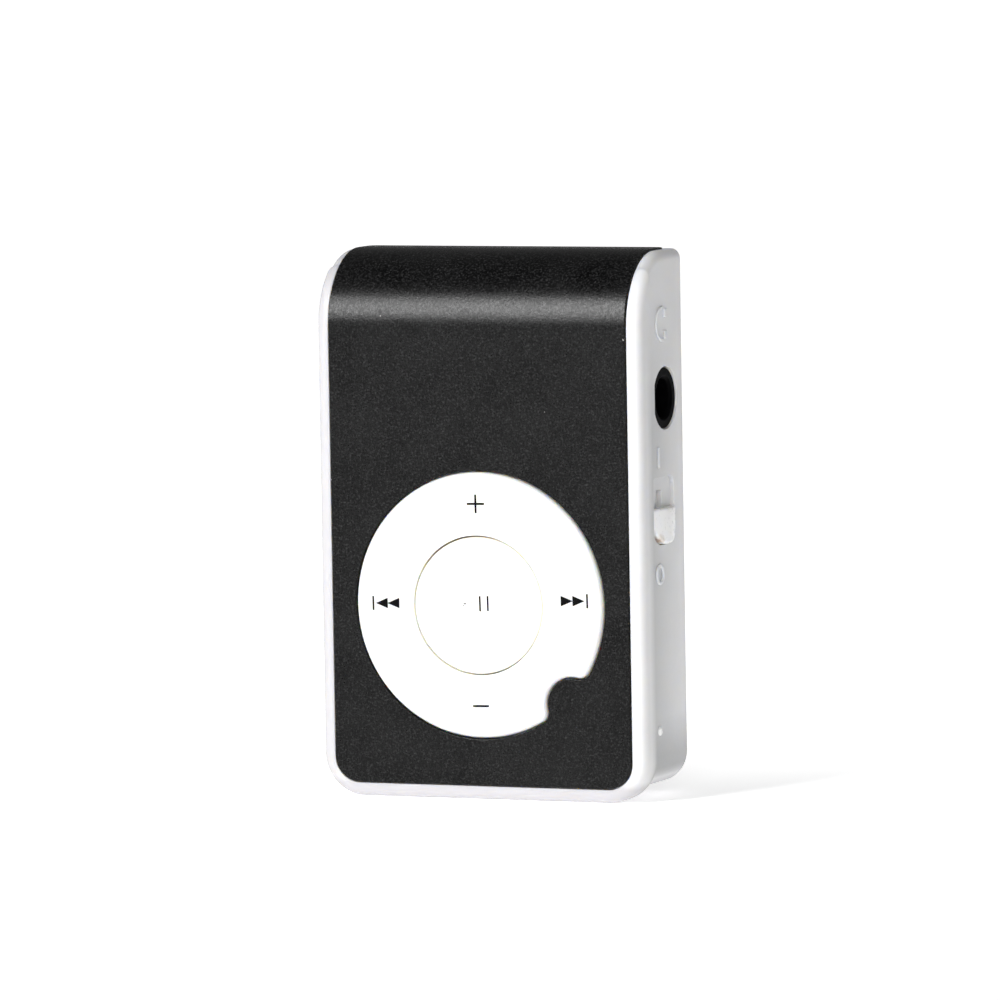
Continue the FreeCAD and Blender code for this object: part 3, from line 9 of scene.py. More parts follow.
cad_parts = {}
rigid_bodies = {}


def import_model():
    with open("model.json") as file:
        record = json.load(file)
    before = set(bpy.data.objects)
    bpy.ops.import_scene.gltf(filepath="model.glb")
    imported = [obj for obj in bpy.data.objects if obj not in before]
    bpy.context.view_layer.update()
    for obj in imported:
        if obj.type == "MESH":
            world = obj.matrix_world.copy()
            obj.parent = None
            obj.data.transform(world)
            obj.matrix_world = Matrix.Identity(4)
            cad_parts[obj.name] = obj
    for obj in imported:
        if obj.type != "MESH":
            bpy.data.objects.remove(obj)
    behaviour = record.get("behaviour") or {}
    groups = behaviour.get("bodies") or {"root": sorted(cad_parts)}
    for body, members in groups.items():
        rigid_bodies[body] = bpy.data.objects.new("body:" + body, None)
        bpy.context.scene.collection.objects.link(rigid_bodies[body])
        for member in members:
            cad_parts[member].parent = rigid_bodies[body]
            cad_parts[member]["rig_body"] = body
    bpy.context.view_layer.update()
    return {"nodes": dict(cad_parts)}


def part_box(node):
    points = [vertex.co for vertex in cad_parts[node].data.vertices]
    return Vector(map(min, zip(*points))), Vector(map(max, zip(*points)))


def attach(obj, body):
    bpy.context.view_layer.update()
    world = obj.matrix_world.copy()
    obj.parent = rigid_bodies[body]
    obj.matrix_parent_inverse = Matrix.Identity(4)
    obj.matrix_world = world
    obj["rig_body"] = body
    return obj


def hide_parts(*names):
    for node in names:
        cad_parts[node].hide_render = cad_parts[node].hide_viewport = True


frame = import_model()
nodes = frame["nodes"]
scene = bpy.context.scene
MM = 0.001
FRAME_DEPTH = 3.0  # mm, from the plate's face to where the rear shell comes out of the front frame
BUTTON_RIM = 1.0   # mm, how far behind the button's face its edge is measured

# Places that everything below is laid out from, read from the CAD model.
plate_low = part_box("face_plate")[0]
ring_low, ring_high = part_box("control_ring")
shell_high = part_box("rear_shell")[1]
FRONT = plate_low.y
WHEEL = Vector((0, FRONT, (ring_low.z + ring_high.z) / 2))
RING_FACE = ring_low.y
BUTTON_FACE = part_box("play_button")[0].y
BUTTON_RADIUS = max(
    math.hypot(vertex.co.x, vertex.co.z - WHEEL.z) for vertex in nodes["play_button"].data.vertices
    if vertex.co.y < BUTTON_FACE + BUTTON_RIM * MM)
SIDE = shell_high.x
STEP = FRONT + FRAME_DEPTH * MM
SLOT_OF = {name: node.material_slots[0].material.name.split(".")[0] for name, node in nodes.items()}


# ---- materials ---------------------------------------------------------------------------------------
# Where each tint or glow fades in or out, as two distances in mm.

# The next five place the painted light in the centre button's gap and the painted shadow at its upper left.
GAP_DEPTH = (0.02, 0.18)            # behind the ring's face
GAP_INNER = (-0.22, -0.14)          # out from the centre button's edge
GAP_OUTER = (0.30, 0.34)
GAP_SHADOW_AT = Vector((-2.13, 0, 6.56))  # from the middle of the ring
GAP_SHADOW_REACH = (2.0, 5.5)
# The next seven place the casing's painted shade: its rims, the right side, the step behind the frame, and
# the foot.
RIM_REACH = (-0.1, 0.6)             # in from the plate's edge
SIDE_REACH = (-0.8, -0.2)           # out from the right side
STEP_FRONT = (-1.3, 0)              # behind the step
STEP_BACK = (0, 7.0)
FOOT_FRONT = (-0.6, 0)
FOOT_REACH = (1.0, 7.5)             # above the player's foot
BEND_REACH = (34.0, 44.0)
GRIME_BEHIND, GRIME_ABOVE = 0.9, 0.35  # from the knob's lower front edge
GRIME_REACH = (0.15, 0.75)
FRONT_GLOW, FRONT_GLOW_FROM = 0.47, (-300, -90)  # behind the plate's middle
BACK_GLOW, BACK_GLOW_FROM = 0.42, (-5, 40)
GLOW_RIGHT = (50, 220)              # right of the player's middle


class Finish:
    """A procedural material. Its textures use the piece's own coordinates, in millimetres."""

    def __init__(self, name, **shader_values):
        self.material = bpy.data.materials.new(name)
        self.material.use_nodes = True
        self.tree = self.material.node_tree
        self.shader = self.tree.nodes["Principled BSDF"]
        for socket, amount in shader_values.items():
            self.shader.inputs[socket.replace("_", " ")].default_value = amount
        coordinates = self.tree.nodes.new("ShaderNodeTexCoord")
        scale = self.tree.nodes.new("ShaderNodeVectorMath")
        scale.operation = "SCALE"
        scale.inputs["Scale"].default_value = 1 / MM
        self.link(coordinates.outputs["Object"], scale.inputs[0])
        self.place = scale.outputs[0]
        self.bump = None
        self.base = None

    def link(self, source, target):
        self.tree.links.new(source, target)

    def vector(self, operation, source, amount):
        """A vector changed by a fixed one."""
        changed = self.tree.nodes.new("ShaderNodeVectorMath")
        changed.operation = operation
        changed.inputs[1].default_value = amount
        self.link(source, changed.inputs[0])
        return changed.outputs[0]

    def noise(self, per_mm, detail=3.0, roughness=0.55, stretch=(1, 1, 1)):
        texture = self.tree.nodes.new("ShaderNodeTexNoise")
        texture.inputs["Scale"].default_value = per_mm
        texture.inputs["Detail"].default_value = detail
        texture.inputs["Roughness"].default_value = roughness
        self.link(self.vector("MULTIPLY", self.place, stretch), texture.inputs["Vector"])
        return texture.outputs["Fac"]

    def cells(self, per_mm):
        texture = self.tree.nodes.new("ShaderNodeTexVoronoi")
        texture.inputs["Scale"].default_value = per_mm
        self.link(self.place, texture.inputs["Vector"])
        return texture.outputs["Distance"]

    def along(self, axis):
        """The place along one axis, in mm."""
        split = self.tree.nodes.new("ShaderNodeSeparateXYZ")
        self.link(self.place, split.inputs[0])
        return split.outputs[axis]

    def distance(self, centre, weights):
        """Distance in mm from a point, with each axis weighted."""
        length = self.tree.nodes.new("ShaderNodeVectorMath")
        length.operation = "LENGTH"
        offset = self.vector("SUBTRACT", self.place, centre)
        self.link(self.vector("MULTIPLY", offset, weights), length.inputs[0])
        return length.outputs["Value"]

    def spread(self, source, low, high, from_low=0.3, from_high=0.7):
        """Maps a value onto a range of numbers, and clamps it there. The defaults suit a noise texture."""
        mapped = self.tree.nodes.new("ShaderNodeMapRange")
        ends = {"From Min": from_low, "From Max": from_high, "To Min": low, "To Max": high}
        for socket, amount in ends.items():
            mapped.inputs[socket].default_value = amount
        self.link(source, mapped.inputs["Value"])
        return mapped.outputs["Result"]

    def rising(self, source, start, ends):
        """A mask that goes from 0 to 1 between two distances past a start."""
        return self.spread(source, 0, 1, start + ends[0], start + ends[1])

    def falling(self, source, start, ends):
        """A mask that goes from 1 to 0 between two distances past a start."""
        return self.spread(source, 1, 0, start + ends[0], start + ends[1])

    def combine(self, operation, first, second):
        result = self.tree.nodes.new("ShaderNodeMath")
        result.operation = operation
        self.link(first, result.inputs[0])
        self.link(second, result.inputs[1])
        return result.outputs[0]

    def where(self, first, *others):
        """A mask that holds only where all of the given masks do."""
        mask = first
        for other in others:
            mask = self.combine("MULTIPLY", mask, other)
        return mask

    def blend(self, factor, first, second):
        """A colour between two, each a tuple or the output of another blend."""
        mix = self.tree.nodes.new("ShaderNodeMix")
        mix.data_type = "RGBA"
        self.link(factor, mix.inputs[0])
        for colour, socket in ((first, mix.inputs[6]), (second, mix.inputs[7])):
            if isinstance(colour, tuple):
                socket.default_value = (*colour, 1)
            else:
                self.link(colour, socket)
        return mix.outputs[2]

    def colour(self, source):
        self.link(source, self.shader.inputs["Base Color"])

    def roughness(self, source):
        self.link(source, self.shader.inputs["Roughness"])

    def relief(self, source, depth_mm):
        """Adds a fine relief of this depth on top of any there already."""
        bump = self.tree.nodes.new("ShaderNodeBump")
        bump.inputs["Distance"].default_value = depth_mm * MM
        self.link(source, bump.inputs["Height"])
        if self.bump:
            self.link(self.bump, bump.inputs["Normal"])
        self.bump = bump.outputs["Normal"]
        self.link(self.bump, self.shader.inputs["Normal"])


def anodised_aluminium():
    """Black anodised sheet, bead blasted: pebbled grain, soft clouding, and a few pale specks of dust."""
    black, clouded = (0.0002, 0.0002, 0.0003), (0.0040, 0.0040, 0.0041)
    glint, dust_and_shadow = (0.0300, 0.0300, 0.0305), (0.32, 0.31, 0.30)
    finish = Finish("anodised_aluminium", IOR=1.43, Specular_IOR_Level=0.23)
    clouds = finish.spread(finish.noise(0.16, 4), 0, 1, 0.35, 0.65)
    grain = finish.spread(finish.noise(6.0, 2), 0, 1, 0.50, 0.74)
    specks = finish.spread(finish.noise(1.9, 1), 0, 1, 0.825, 0.84)
    sheet = finish.blend(grain, finish.blend(clouds, black, clouded), glint)
    finish.colour(finish.blend(specks, sheet, dust_and_shadow))
    finish.roughness(finish.spread(finish.noise(4.2, 3), 0.20, 0.34))
    finish.relief(finish.noise(6.5, 2, 0.6), 0.0145)
    finish.relief(finish.noise(0.5, 2), 0.006)
    return finish.material


def moulded_white(name, gloss, low, high, subsurface=0.7):
    """White moulded plastic: slightly translucent, with a faint spark-eroded grain."""
    finish = Finish(name, IOR=1.47, Subsurface_Weight=subsurface, Subsurface_Scale=0.9 * MM,
                    Subsurface_Radius=(1.0, 0.86, 0.62))
    finish.base = finish.blend(finish.spread(finish.noise(0.35, 4), 0, 1), low, high)
    finish.colour(finish.base)
    finish.roughness(finish.spread(finish.noise(3.0, 3), gloss - 0.05, gloss + 0.07))
    finish.relief(finish.noise(5.0, 3), 0.004)
    finish.relief(finish.noise(0.25, 2), 0.012)
    return finish


def button_white():
    """The buttons' plastic, with painted light in the gap round the centre button, a pale yellowish glow as
    of light through the plastic, and a painted brown shadow at the gap's upper left.
    """
    # Painted light and shadow in the gap: a pale yellowish glow all round, and a brown shadow at its upper
    # left.
    painted_gap_light, painted_shadow_brown = (0.995, 0.985, 0.85), (0.62, 0.52, 0.38)
    finish = moulded_white("white_buttons", 0.36, (0.85, 0.845, 0.837), (0.88, 0.875, 0.87), 1.0)
    middle = WHEEL / MM
    from_middle = finish.distance(middle, (1, 0, 1))
    radius = BUTTON_RADIUS / MM
    face = RING_FACE / MM
    gap = finish.where(
        finish.falling(from_middle, radius, GAP_OUTER),
        finish.rising(from_middle, radius, GAP_INNER),
        finish.rising(finish.along("Y"), face, GAP_DEPTH))
    # Painted shadow: browner at the gap's upper left, where the ring's edge shades it.
    dust_and_shadow = finish.falling(finish.distance(middle + GAP_SHADOW_AT, (1, 0, 1)), 0, GAP_SHADOW_REACH)
    gap_lit_colour = finish.blend(gap, finish.base, painted_gap_light)
    finish.colour(finish.blend(finish.where(dust_and_shadow, gap), gap_lit_colour, painted_shadow_brown))
    return finish.material


def casing_white(name):
    return moulded_white(name, 0.42, (0.70, 0.70, 0.708), (0.73, 0.73, 0.738))


def casing_with_painted_shade():
    """The casing's plastic with painted shade: a little greyer round its left and lower rims, in the step
    behind the frame, and at the foot of the right side."""
    # Painted shade: the greys that the rims, the step and the foot of the right side are darkened towards.
    painted_left_shade, painted_lower_shade = (0.565, 0.558, 0.577), (0.525, 0.515, 0.535)
    painted_step_shade, painted_foot_shade = (0.49, 0.495, 0.50), (0.31, 0.315, 0.32)
    finish = casing_white("casing_painted_shade")
    across, depth, height = (finish.along(axis) for axis in "XYZ")
    step = STEP / MM
    left_rim = finish.falling(across, plate_low.x / MM, RIM_REACH)
    lower_rim = finish.falling(height, plate_low.z / MM, RIM_REACH)
    right_side = finish.rising(across, SIDE / MM, SIDE_REACH)
    near_step = finish.where(
        finish.rising(depth, step, STEP_FRONT),
        finish.falling(depth, step, STEP_BACK))
    under_bend = finish.falling(height, 0, BEND_REACH)
    foot = finish.falling(height, 0, FOOT_REACH)
    behind_step = finish.rising(depth, step, FOOT_FRONT)
    colour = finish.blend(left_rim, finish.base, painted_left_shade)
    colour = finish.blend(lower_rim, colour, painted_lower_shade)
    colour = finish.blend(finish.where(right_side, near_step, under_bend), colour, painted_step_shade)
    finish.colour(finish.blend(finish.where(right_side, foot, behind_step), colour, painted_foot_shade))
    return finish.material


def knob_white():
    """The switch knob's plastic, with grime caught in its lower front corner."""
    brown = (0.34, 0.20, 0.10)
    finish = moulded_white("white_knob", 0.30, (0.82, 0.818, 0.812), (0.855, 0.853, 0.85))
    low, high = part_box("switch_knob")
    corner = Vector(((low.x + high.x) / 2, low.y + GRIME_BEHIND * MM, low.z + GRIME_ABOVE * MM)) / MM
    grime = finish.falling(finish.distance(corner, (0.4, 1, 1)), 0, GRIME_REACH)
    patches = finish.spread(finish.noise(2.2, 3), 0.2, 1)
    finish.colour(finish.blend(finish.where(grime, patches), finish.base, brown))
    return finish.material


def opaque(name, colour, gloss, sheen=0.5):
    """Opaque moulding, tape, epoxy or insulation in any colour, with faint mottling."""
    finish = Finish(name, IOR=1.5, Specular_IOR_Level=sheen)
    paler = tuple(channel * 1.7 + 0.001 for channel in colour)
    finish.colour(finish.blend(finish.spread(finish.noise(1.2, 4), 0, 1), colour, paler))
    finish.roughness(finish.spread(finish.noise(4.0, 3), gloss - 0.06, gloss + 0.1))
    finish.relief(finish.noise(6.0, 3), 0.006)
    return finish.material


def metal(name, dull, bright, gloss, stretch=(1, 1, 1)):
    """Sheet or drawn metal: fine rolling marks along one way and a cloudy tarnish."""
    finish = Finish(name, Metallic=1.0)
    tarnish = finish.spread(finish.noise(0.7, 4), 0, 1)
    finish.colour(finish.blend(tarnish, dull, bright))
    finish.roughness(finish.spread(finish.noise(6.0, 3, stretch=stretch), gloss - 0.06, gloss + 0.12))
    finish.relief(finish.noise(8.0, 2, stretch=stretch), 0.003)
    return finish.material


def circuit_board():
    """Green solder mask over copper tracks."""
    mask_green, track_green, shaded_green = (0.012, 0.085, 0.035), (0.03, 0.16, 0.06), (0.01, 0.06, 0.03)
    finish = Finish("solder_mask", IOR=1.5, Coat_Weight=0.4)
    tracks = finish.spread(finish.cells(0.9), 0, 1, 0.42, 0.46)
    base = finish.blend(tracks, mask_green, track_green)
    finish.colour(finish.blend(finish.spread(finish.noise(2.5, 3), 0, 0.5), base, shaded_green))
    finish.roughness(finish.spread(finish.noise(3.0, 2), 0.25, 0.4))
    finish.relief(tracks, 0.02)
    return finish.material


def pouch_foil():
    """Crinkled aluminium laminate of a pouch cell."""
    dull, bright = (0.55, 0.56, 0.58), (0.72, 0.73, 0.75)
    finish = Finish("pouch_foil", Metallic=0.9)
    finish.colour(finish.blend(finish.spread(finish.noise(0.6, 4), 0, 1), dull, bright))
    finish.roughness(finish.spread(finish.noise(1.4, 3), 0.24, 0.42))
    finish.relief(finish.cells(0.7), 0.05)
    finish.relief(finish.noise(3.0, 3), 0.02)
    return finish.material


def ink():
    """Screen-printed black, slightly worn so that the white shows through in pinholes."""
    black, worn = (0.0012, 0.0011, 0.0012), (0.03, 0.029, 0.028)
    finish = Finish("printed_ink", IOR=1.2)
    wear = finish.spread(finish.noise(9.0, 2), 0, 1, 0.66, 0.74)
    finish.colour(finish.blend(wear, black, worn))
    finish.roughness(finish.spread(finish.noise(4.0, 2), 0.65, 0.85))
    return finish.material


def clear_plastic(name, tint, rough, transmission):
    finish = Finish(name, IOR=1.49, Transmission_Weight=transmission)
    paler = tuple(min(channel * 1.05, 1.0) for channel in tint)
    finish.colour(finish.blend(finish.spread(finish.noise(1.5, 3), 0, 1), tint, paler))
    finish.roughness(finish.spread(finish.noise(3.0, 2), rough, rough + 0.12))
    return finish.material


def studio_floor():
    """A light table: plain pale acrylic that glows a little, most behind the player, and not at all far in
    front of it or far to its right."""
    finish = Finish("studio_floor", IOR=1.4, Specular_IOR_Level=0.1, Emission_Color=(1, 1, 1, 1))
    cloud = finish.spread(finish.noise(0.01, 3), 0, 1)
    finish.colour(finish.blend(cloud, (0.90, 0.90, 0.90), (0.92, 0.92, 0.92)))
    finish.roughness(finish.spread(finish.noise(0.05, 2), 0.8, 0.9))
    across, depth = finish.along("X"), finish.along("Y")
    front = finish.spread(depth, 0, FRONT_GLOW, *FRONT_GLOW_FROM)
    behind = finish.spread(depth, 0, BACK_GLOW, *BACK_GLOW_FROM)
    glow = finish.where(finish.combine("ADD", front, behind), finish.falling(across, 0, GLOW_RIGHT))
    finish.link(glow, finish.shader.inputs["Emission Strength"])
    return finish.material


FINISHES = {
    "black_anodised": anodised_aluminium(),
    "white_plastic": casing_white("white_casing").material,
    "button_white": button_white(),
    "adhesive_tape": opaque("foam_tape", (0.55, 0.53, 0.47), 0.7),
    "clear_film": clear_plastic("dome_film", (0.92, 0.90, 0.80), 0.25, 0.55),
    "circuit_board": circuit_board(),
    "chip_black": opaque("chip_epoxy", (0.012, 0.012, 0.013), 0.5),
    "ceramic_parts": opaque("ceramic", (0.30, 0.22, 0.14), 0.45),
    "black_plastic": opaque("black_moulding", (0.0006, 0.0006, 0.0008), 0.42, 0.015),
    "contact_brass": metal("plated_brass", (0.62, 0.44, 0.16), (0.80, 0.62, 0.28), 0.28, (1, 6, 1)),
    "tinned_steel": metal("tinned_steel", (0.55, 0.55, 0.54), (0.72, 0.72, 0.71), 0.30, (6, 1, 1)),
    "zinc_steel": metal("zinc_steel", (0.50, 0.51, 0.54), (0.66, 0.67, 0.70), 0.34),
    "spring_steel": metal("spring_steel", (0.45, 0.45, 0.46), (0.64, 0.64, 0.65), 0.26, (1, 1, 5)),
    "light_pipe": clear_plastic("light_pipe", (0.93, 0.93, 0.92), 0.2, 0.08),
    "battery_foil": pouch_foil(),
    "wire_red": opaque("red_insulation", (0.42, 0.012, 0.012), 0.4),
    "wire_black": opaque("black_insulation", (0.010, 0.010, 0.010), 0.4),
}
INK = ink()
# The front frame and the rear shell take the casing with its painted shade.
PAINTED_SHADE_CASING = casing_with_painted_shade()
OWN_FINISH = {"switch_knob": knob_white(), "rear_shell": PAINTED_SHADE_CASING, "front_frame": PAINTED_SHADE_CASING}


def finish_of(node):
    return OWN_FINISH.get(node) or FINISHES[SLOT_OF[node]]


def dress(obj, material):
    obj.data.materials.clear()
    obj.data.materials.append(material)


# ---- pieces ------------------------------------------------------------------------------------------

SAME_POINT = 0.0005    # mm
FLAT_WITHIN = 0.2      # degrees
SHARP_FROM = 38        # degrees, on the casing
MARK_SHARP_FROM = 50   # degrees, on the raised marks
EDGE_SEGMENTS = 3
FACE_WEIGHT = 60       # over 50, so that large faces count for more in the shading


def clean_mesh(mesh):
    """Joins the tessellation's loose triangles and merges those that lie in one flat face."""
    work = bmesh.new()
    work.from_mesh(mesh)
    bmesh.ops.remove_doubles(work, verts=work.verts, dist=SAME_POINT * MM)
    bmesh.ops.dissolve_limit(work, angle_limit=math.radians(FLAT_WITHIN), verts=work.verts, edges=work.edges)
    work.to_mesh(mesh)
    work.free()
    if "custom_normal" in mesh.attributes:
        mesh.attributes.remove(mesh.attributes["custom_normal"])


def break_edges(piece, name, sharp_from, edge_mm):
    """Shades a piece smooth and rounds its sharp edges."""
    piece.data.polygons.foreach_set("use_smooth", [True] * len(piece.data.polygons))
    bevel = piece.modifiers.new(name, "BEVEL")
    bevel.limit_method = "ANGLE"
    bevel.angle_limit = math.radians(sharp_from)
    bevel.width = edge_mm * MM
    bevel.segments = EDGE_SEGMENTS
    bevel.use_clamp_overlap = True
    return piece.modifiers.new("even_normals", "WEIGHTED_NORMAL")


def refine(node, edge_mm):
    """Replaces a CAD node by the same shape with its sharp edges broken, as moulded and cut edges are."""
    skin = bpy.data.objects.new(f"{node}_skin", nodes[node].data.copy())
    scene.collection.objects.link(skin)
    clean_mesh(skin.data)
    normals = break_edges(skin, "broken_edges", SHARP_FROM, edge_mm)
    normals.keep_sharp = True
    normals.weight = FACE_WEIGHT
    dress(skin, finish_of(node))
    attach(skin, nodes[node]["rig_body"])
    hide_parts(node)


def thin_shape(name, outlines, to_world, height, edge, body, material):
    """Flat raised shapes: closed outlines in mm, each laid with to_world(u, v, height) and stood up by
    `height`, with rounded edges if `edge` isn't 0."""
    work = bmesh.new()
    for outline in outlines:
        low = [work.verts.new(to_world(u, v, 0)) for u, v in outline]
        high = [work.verts.new(to_world(u, v, height)) for u, v in outline]
        work.faces.new(low[::-1])
        work.faces.new(high)
        for number in range(len(outline)):
            after = (number + 1) % len(outline)
            work.faces.new((low[number], low[after], high[after], high[number]))
    bmesh.ops.recalc_face_normals(work, faces=work.faces)
    mesh = bpy.data.meshes.new(name)
    work.to_mesh(mesh)
    work.free()
    piece = bpy.data.objects.new(name, mesh)
    scene.collection.objects.link(piece)
    if edge:
        break_edges(piece, "soft_edges", MARK_SHARP_FROM, edge)
    dress(piece, material)
    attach(piece, body)


def arc(centre, radius, start, end, steps):
    """Points on an arc; the angles are in degrees."""
    turns = [math.radians(start + (end - start) * step / steps) for step in range(steps + 1)]
    return [(centre[0] + radius * math.cos(turn), centre[1] + radius * math.sin(turn)) for turn in turns]


def bar(centre, wide, tall):
    x, y = centre
    return [(x - wide / 2, y - tall / 2), (x + wide / 2, y - tall / 2),
            (x + wide / 2, y + tall / 2), (x - wide / 2, y + tall / 2)]


def cross(centre, arm, stroke):
    """A plus sign, as the twelve corners of its outline."""
    x, y = centre
    thin = stroke / 2
    return [(x - thin, y - arm), (x + thin, y - arm), (x + thin, y - thin), (x + arm, y - thin),
            (x + arm, y + thin), (x + thin, y + thin), (x + thin, y + arm), (x - thin, y + arm),
            (x - thin, y + thin), (x - arm, y + thin), (x - arm, y - thin), (x - thin, y - thin)]


def triangle(centre, wide, tall, way):
    """An isosceles triangle; way 1 points right and -1 left."""
    x, y = centre
    tail, tip = x - way * wide / 2, x + way * wide / 2
    points = [(tail, y - tall / 2), (tip, y), (tail, y + tall / 2)]
    return points if way > 0 else points[::-1]


def turned(outlines, degrees):
    """Outlines turned about their origin."""
    cosine, sine = math.cos(math.radians(degrees)), math.sin(math.radians(degrees))
    return [[(u * cosine - v * sine, u * sine + v * cosine) for u, v in outline] for outline in outlines]


# ---- printed symbols on the ring and the button ------------------------------------------------------
# All in mm, with places taken from the middle of the ring.

PRINT_SUNK = 0.010
PRINT_PROUD = 0.003
PRINT_TURN = 1.0  # degrees that the print is off upright
STROKE = 0.19
PLUS_AT, PLUS_ARM = (0.08, 9.25), 0.85
MINUS_AT, MINUS_LONG = (-0.02, -9.16), 1.57
SKIPS = (("print_previous", -9.12, 0.20, -1), ("print_next", 9.49, 0.44, 1))
ARROW_WIDE, ARROW_TALL = 1.18, 0.96
FIRST_ARROW, SECOND_ARROW, STOP_BAR = -0.77, 0.38, 1.22
STOP_WIDE, STOP_TALL = 0.17, 1.30
PAUSE_BARS = ((0.20, 0.17), (0.97, 0.19))
PAUSE_WIDE, PAUSE_TALL = 0.16, 1.38

# The worn specks' number, and the ranges that their places, sizes and ragged corners are drawn from, each
# as its start and its length.
WORN_SEED = 7
WORN_COUNT = 7
WORN_CORNERS = 7
WORN_ACROSS, WORN_UP = (-1.45, 0.9), (-0.15, 0.75)
WORN_REACH = (0.03, 0.04)
WORN_RAGGED = (0.7, 0.5)


def on_face(face):
    def place(u, v, height):
        return Vector((u * MM, face + (PRINT_SUNK - height) * MM, WHEEL.z + v * MM))
    return place


def print_symbol(name, outlines, face, body):
    height = PRINT_SUNK + PRINT_PROUD
    thin_shape(name, turned(outlines, PRINT_TURN), on_face(face), height, 0, body, INK)


def worn_specks():
    """What is left of a play triangle that has worn down."""
    chance = random.Random(WORN_SEED)

    def draw(start, length):
        return start + chance.random() * length

    specks = []
    for _ in range(WORN_COUNT):
        x, y, reach = draw(*WORN_ACROSS), draw(*WORN_UP), draw(*WORN_REACH)
        corners = (math.tau * step / WORN_CORNERS for step in range(WORN_CORNERS))
        specks.append([(x + reach * math.cos(turn) * draw(*WORN_RAGGED),
                        y + reach * math.sin(turn) * draw(*WORN_RAGGED)) for turn in corners])
    return specks


print_symbol("print_plus", [cross(PLUS_AT, PLUS_ARM, STROKE)], RING_FACE, "control_ring")
print_symbol("print_minus", [bar(MINUS_AT, MINUS_LONG, STROKE)], RING_FACE, "control_ring")
for name, x, z, way in SKIPS:
    print_symbol(name, [
        triangle((x + way * FIRST_ARROW, z), ARROW_WIDE, ARROW_TALL, way),
        triangle((x + way * SECOND_ARROW, z), ARROW_WIDE, ARROW_TALL, way),
        bar((x + way * STOP_BAR, z), STOP_WIDE, STOP_TALL),
    ], RING_FACE, "control_ring")
pause = [bar(centre, PAUSE_WIDE, PAUSE_TALL) for centre in PAUSE_BARS]
print_symbol("print_pause", pause, BUTTON_FACE, "play_button")
print_symbol("print_worn_play", worn_specks(), BUTTON_FACE, "play_button")

# ---- raised marks on the right side ------------------------------------------------------------------
# All in mm: depth behind the plate's face, then height above the player's foot.

MARK_SUNK = 0.05
MARK_PROUD = 0.17
MARK_EDGE = 0.07
HEADBAND_AT, HEADBAND_OUTER, HEADBAND_INNER = (6.25, 43.1), 1.62, 1.30
HEADBAND_FROM, HEADBAND_TO = 80, 280  # degrees
HEADBAND_STEPS = 28
EAR_DEEPER, EAR_APART = 0.75, 1.0
EAR_WIDE, EAR_TALL = 0.62, 0.78
ON_AT, ON_WIDE, ON_TALL = (4.95, 31.05), 0.34, 1.9
OFF_AT, OFF_OUTER, OFF_INNER = (4.9, 20.45), 0.95, 0.62
OFF_FROM, OFF_TO = 90, -259  # degrees, almost a full turn
OFF_STEPS = 44


def on_side(depth, z, height):
    return Vector((SIDE + (height - MARK_SUNK) * MM, FRONT + depth * MM, z * MM))


# The marks keep the plain casing colour, without the painted shade on the side round them.
def raise_mark(name, outlines):
    thin_shape(name, outlines, on_side, MARK_SUNK + MARK_PROUD, MARK_EDGE, "housing",
               FINISHES["white_plastic"])


def band(centre, outer, inner, start, end, steps):
    """The outline of a ring or part of one."""
    return arc(centre, outer, start, end, steps) + arc(centre, inner, end, start, steps)


ears = [bar((HEADBAND_AT[0] + EAR_DEEPER, HEADBAND_AT[1] + side * EAR_APART), EAR_WIDE, EAR_TALL)
        for side in (1, -1)]
raise_mark("mark_headphones", [
    band(HEADBAND_AT, HEADBAND_OUTER, HEADBAND_INNER, HEADBAND_FROM, HEADBAND_TO, HEADBAND_STEPS),
    *ears,
])
raise_mark("mark_on", [bar(ON_AT, ON_WIDE, ON_TALL)])
raise_mark("mark_off", [band(OFF_AT, OFF_OUTER, OFF_INNER, OFF_FROM, OFF_TO, OFF_STEPS)])

# ---- the casing, refined from its CAD nodes ----------------------------------------------------------

BROKEN_EDGES = {  # mm
    "face_plate": 0.07,
    "front_frame": 0.05,
    "rear_shell": 0.07,
    "control_ring": 0.05,
    "play_button": 0.04,
    "switch_knob": 0.05,
    "clip_plate": 0.10,
    "jack_body": 0.05,
    "usb_shell": 0.04,
}
for node, edge_mm in BROKEN_EDGES.items():
    refine(node, edge_mm)
for name, node in nodes.items():
    dress(node, finish_of(name))

# ---- floor, light and camera -------------------------------------------------------------------------
# Lengths are in metres, apart from the camera's lens and sensor.

FLOOR_NEAR = -3.0
FLOOR_FAR = 0.9
FLOOR_HALF_WIDTH = 3.0
FLOOR_DROP = 0.0002 * MM  # keeps the floor off the player's foot
SWEEP_RADIUS = 0.2
SWEEP_TURN, SWEEP_STEP = 55, 5  # degrees
AIM = Vector((0, 0, 0.025))  # where the lights point
SKY_LEVEL = 0.12

profile = [(FLOOR_NEAR, 0.0)]
profile += [(FLOOR_FAR + SWEEP_RADIUS * math.sin(math.radians(turn)),
             SWEEP_RADIUS * (1 - math.cos(math.radians(turn))))
            for turn in range(0, SWEEP_TURN + 1, SWEEP_STEP)]
sweep = bmesh.new()
left_row, right_row = ([sweep.verts.new((x, y, z - FLOOR_DROP)) for y, z in profile]
                       for x in (-FLOOR_HALF_WIDTH, FLOOR_HALF_WIDTH))
for number in range(len(profile) - 1):
    sweep.faces.new((left_row[number], right_row[number],
                     right_row[number + 1], left_row[number + 1])).smooth = True
floor_mesh = bpy.data.meshes.new("studio_floor")
sweep.to_mesh(floor_mesh)
sweep.free()
floor = bpy.data.objects.new("studio_floor", floor_mesh)
scene.collection.objects.link(floor)
dress(floor, studio_floor())


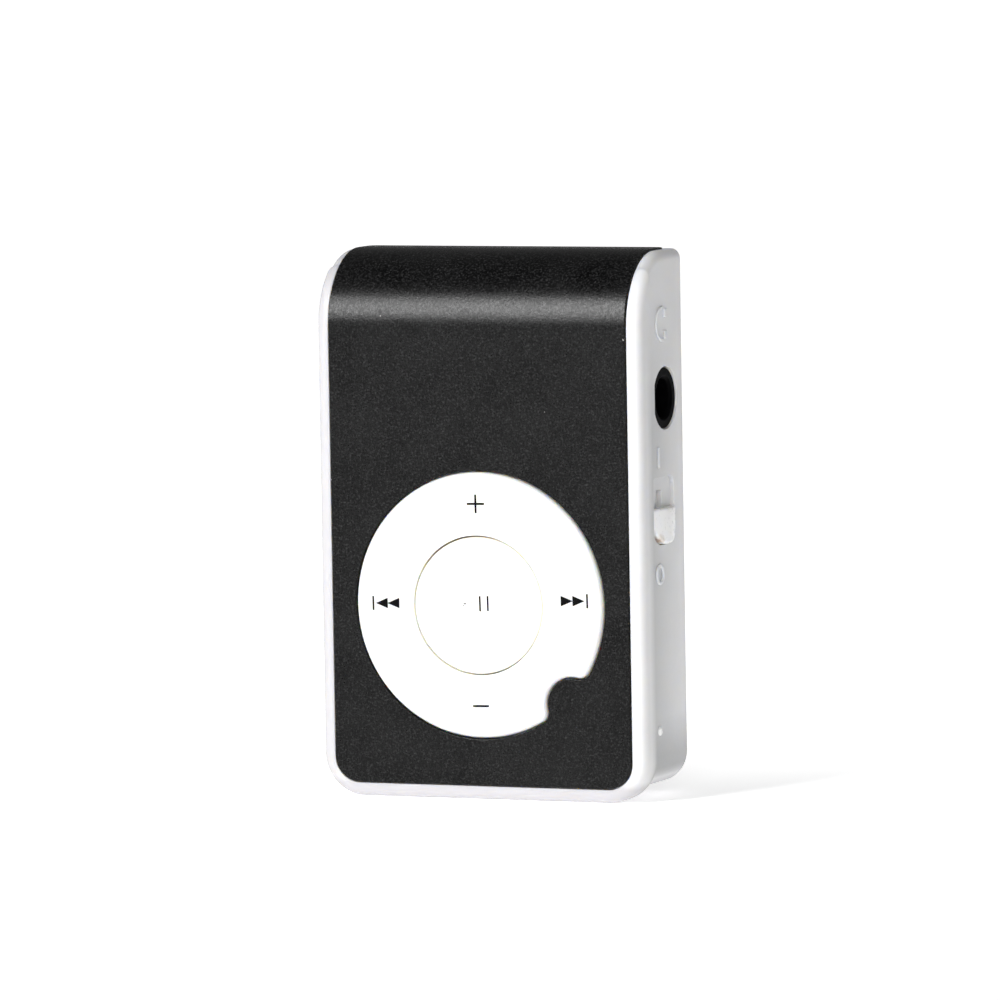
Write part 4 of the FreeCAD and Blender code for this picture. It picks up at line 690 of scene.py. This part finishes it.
def softbox(name, direction, distance, wide, tall, power):
    """A rectangular light in watts, at a distance in a direction from the player and facing it."""
    light = bpy.data.lights.new(name, "AREA")
    light.shape = "RECTANGLE"
    light.size = wide
    light.size_y = tall
    light.energy = power
    lamp = bpy.data.objects.new(name, light)
    scene.collection.objects.link(lamp)
    towards = Vector(direction).normalized()
    lamp.location = AIM + towards * distance
    lamp.rotation_mode = "QUATERNION"
    lamp.rotation_quaternion = towards.to_track_quat("Z", "Y")


softbox("key", (-0.364, -0.816, 0.462), distance=0.80, wide=0.18, tall=0.36, power=5.8)
softbox("fill", (0.42, -0.87, 0.26), distance=0.95, wide=0.45, tall=0.40, power=3.9)
softbox("side", (0.88, 0.32, 0.40), distance=0.80, wide=0.35, tall=0.35, power=0.45)

world = bpy.data.worlds.new("studio")
scene.world = world
world.use_nodes = True
sky = world.node_tree.nodes["Background"]
sky.inputs["Color"].default_value = (1, 1, 1, 1)
sky.inputs["Strength"].default_value = SKY_LEVEL
scene.view_settings.view_transform = "Standard"

# The camera stands off the right of the front and faces the middle of the control ring. It is then moved
# right and up, still facing the same way, so that the whole player is in view.
AZIMUTH = math.radians(22.85)
ELEVATION = math.radians(4.73)
ROLL = math.radians(-0.94)
DISTANCE = 0.80727
MOVED_RIGHT = 1.8466 * MM
MOVED_UP = 9.5409 * MM
LENS = 320.43        # mm
SENSOR_WIDTH = 36.0  # mm
NEAREST, FARTHEST = 0.01, 20.0

back = Vector((math.sin(AZIMUTH) * math.cos(ELEVATION), -math.cos(AZIMUTH) * math.cos(ELEVATION),
               math.sin(ELEVATION)))
right = Vector((math.cos(AZIMUTH), math.sin(AZIMUTH), 0))
up = back.cross(right)
rolled_right = right * math.cos(ROLL) + up * math.sin(ROLL)
rolled_up = up * math.cos(ROLL) - right * math.sin(ROLL)
camera_data = bpy.data.cameras.new("camera")
camera_data.sensor_width = SENSOR_WIDTH
camera_data.lens = LENS
camera_data.clip_start = NEAREST
camera_data.clip_end = FARTHEST
camera = bpy.data.objects.new("camera", camera_data)
scene.collection.objects.link(camera)
place = WHEEL + back * DISTANCE + rolled_right * MOVED_RIGHT + rolled_up * MOVED_UP
turn = Matrix((rolled_right, rolled_up, back)).transposed()
camera.matrix_world = Matrix.Translation(place) @ turn.to_4x4()
scene.camera = camera
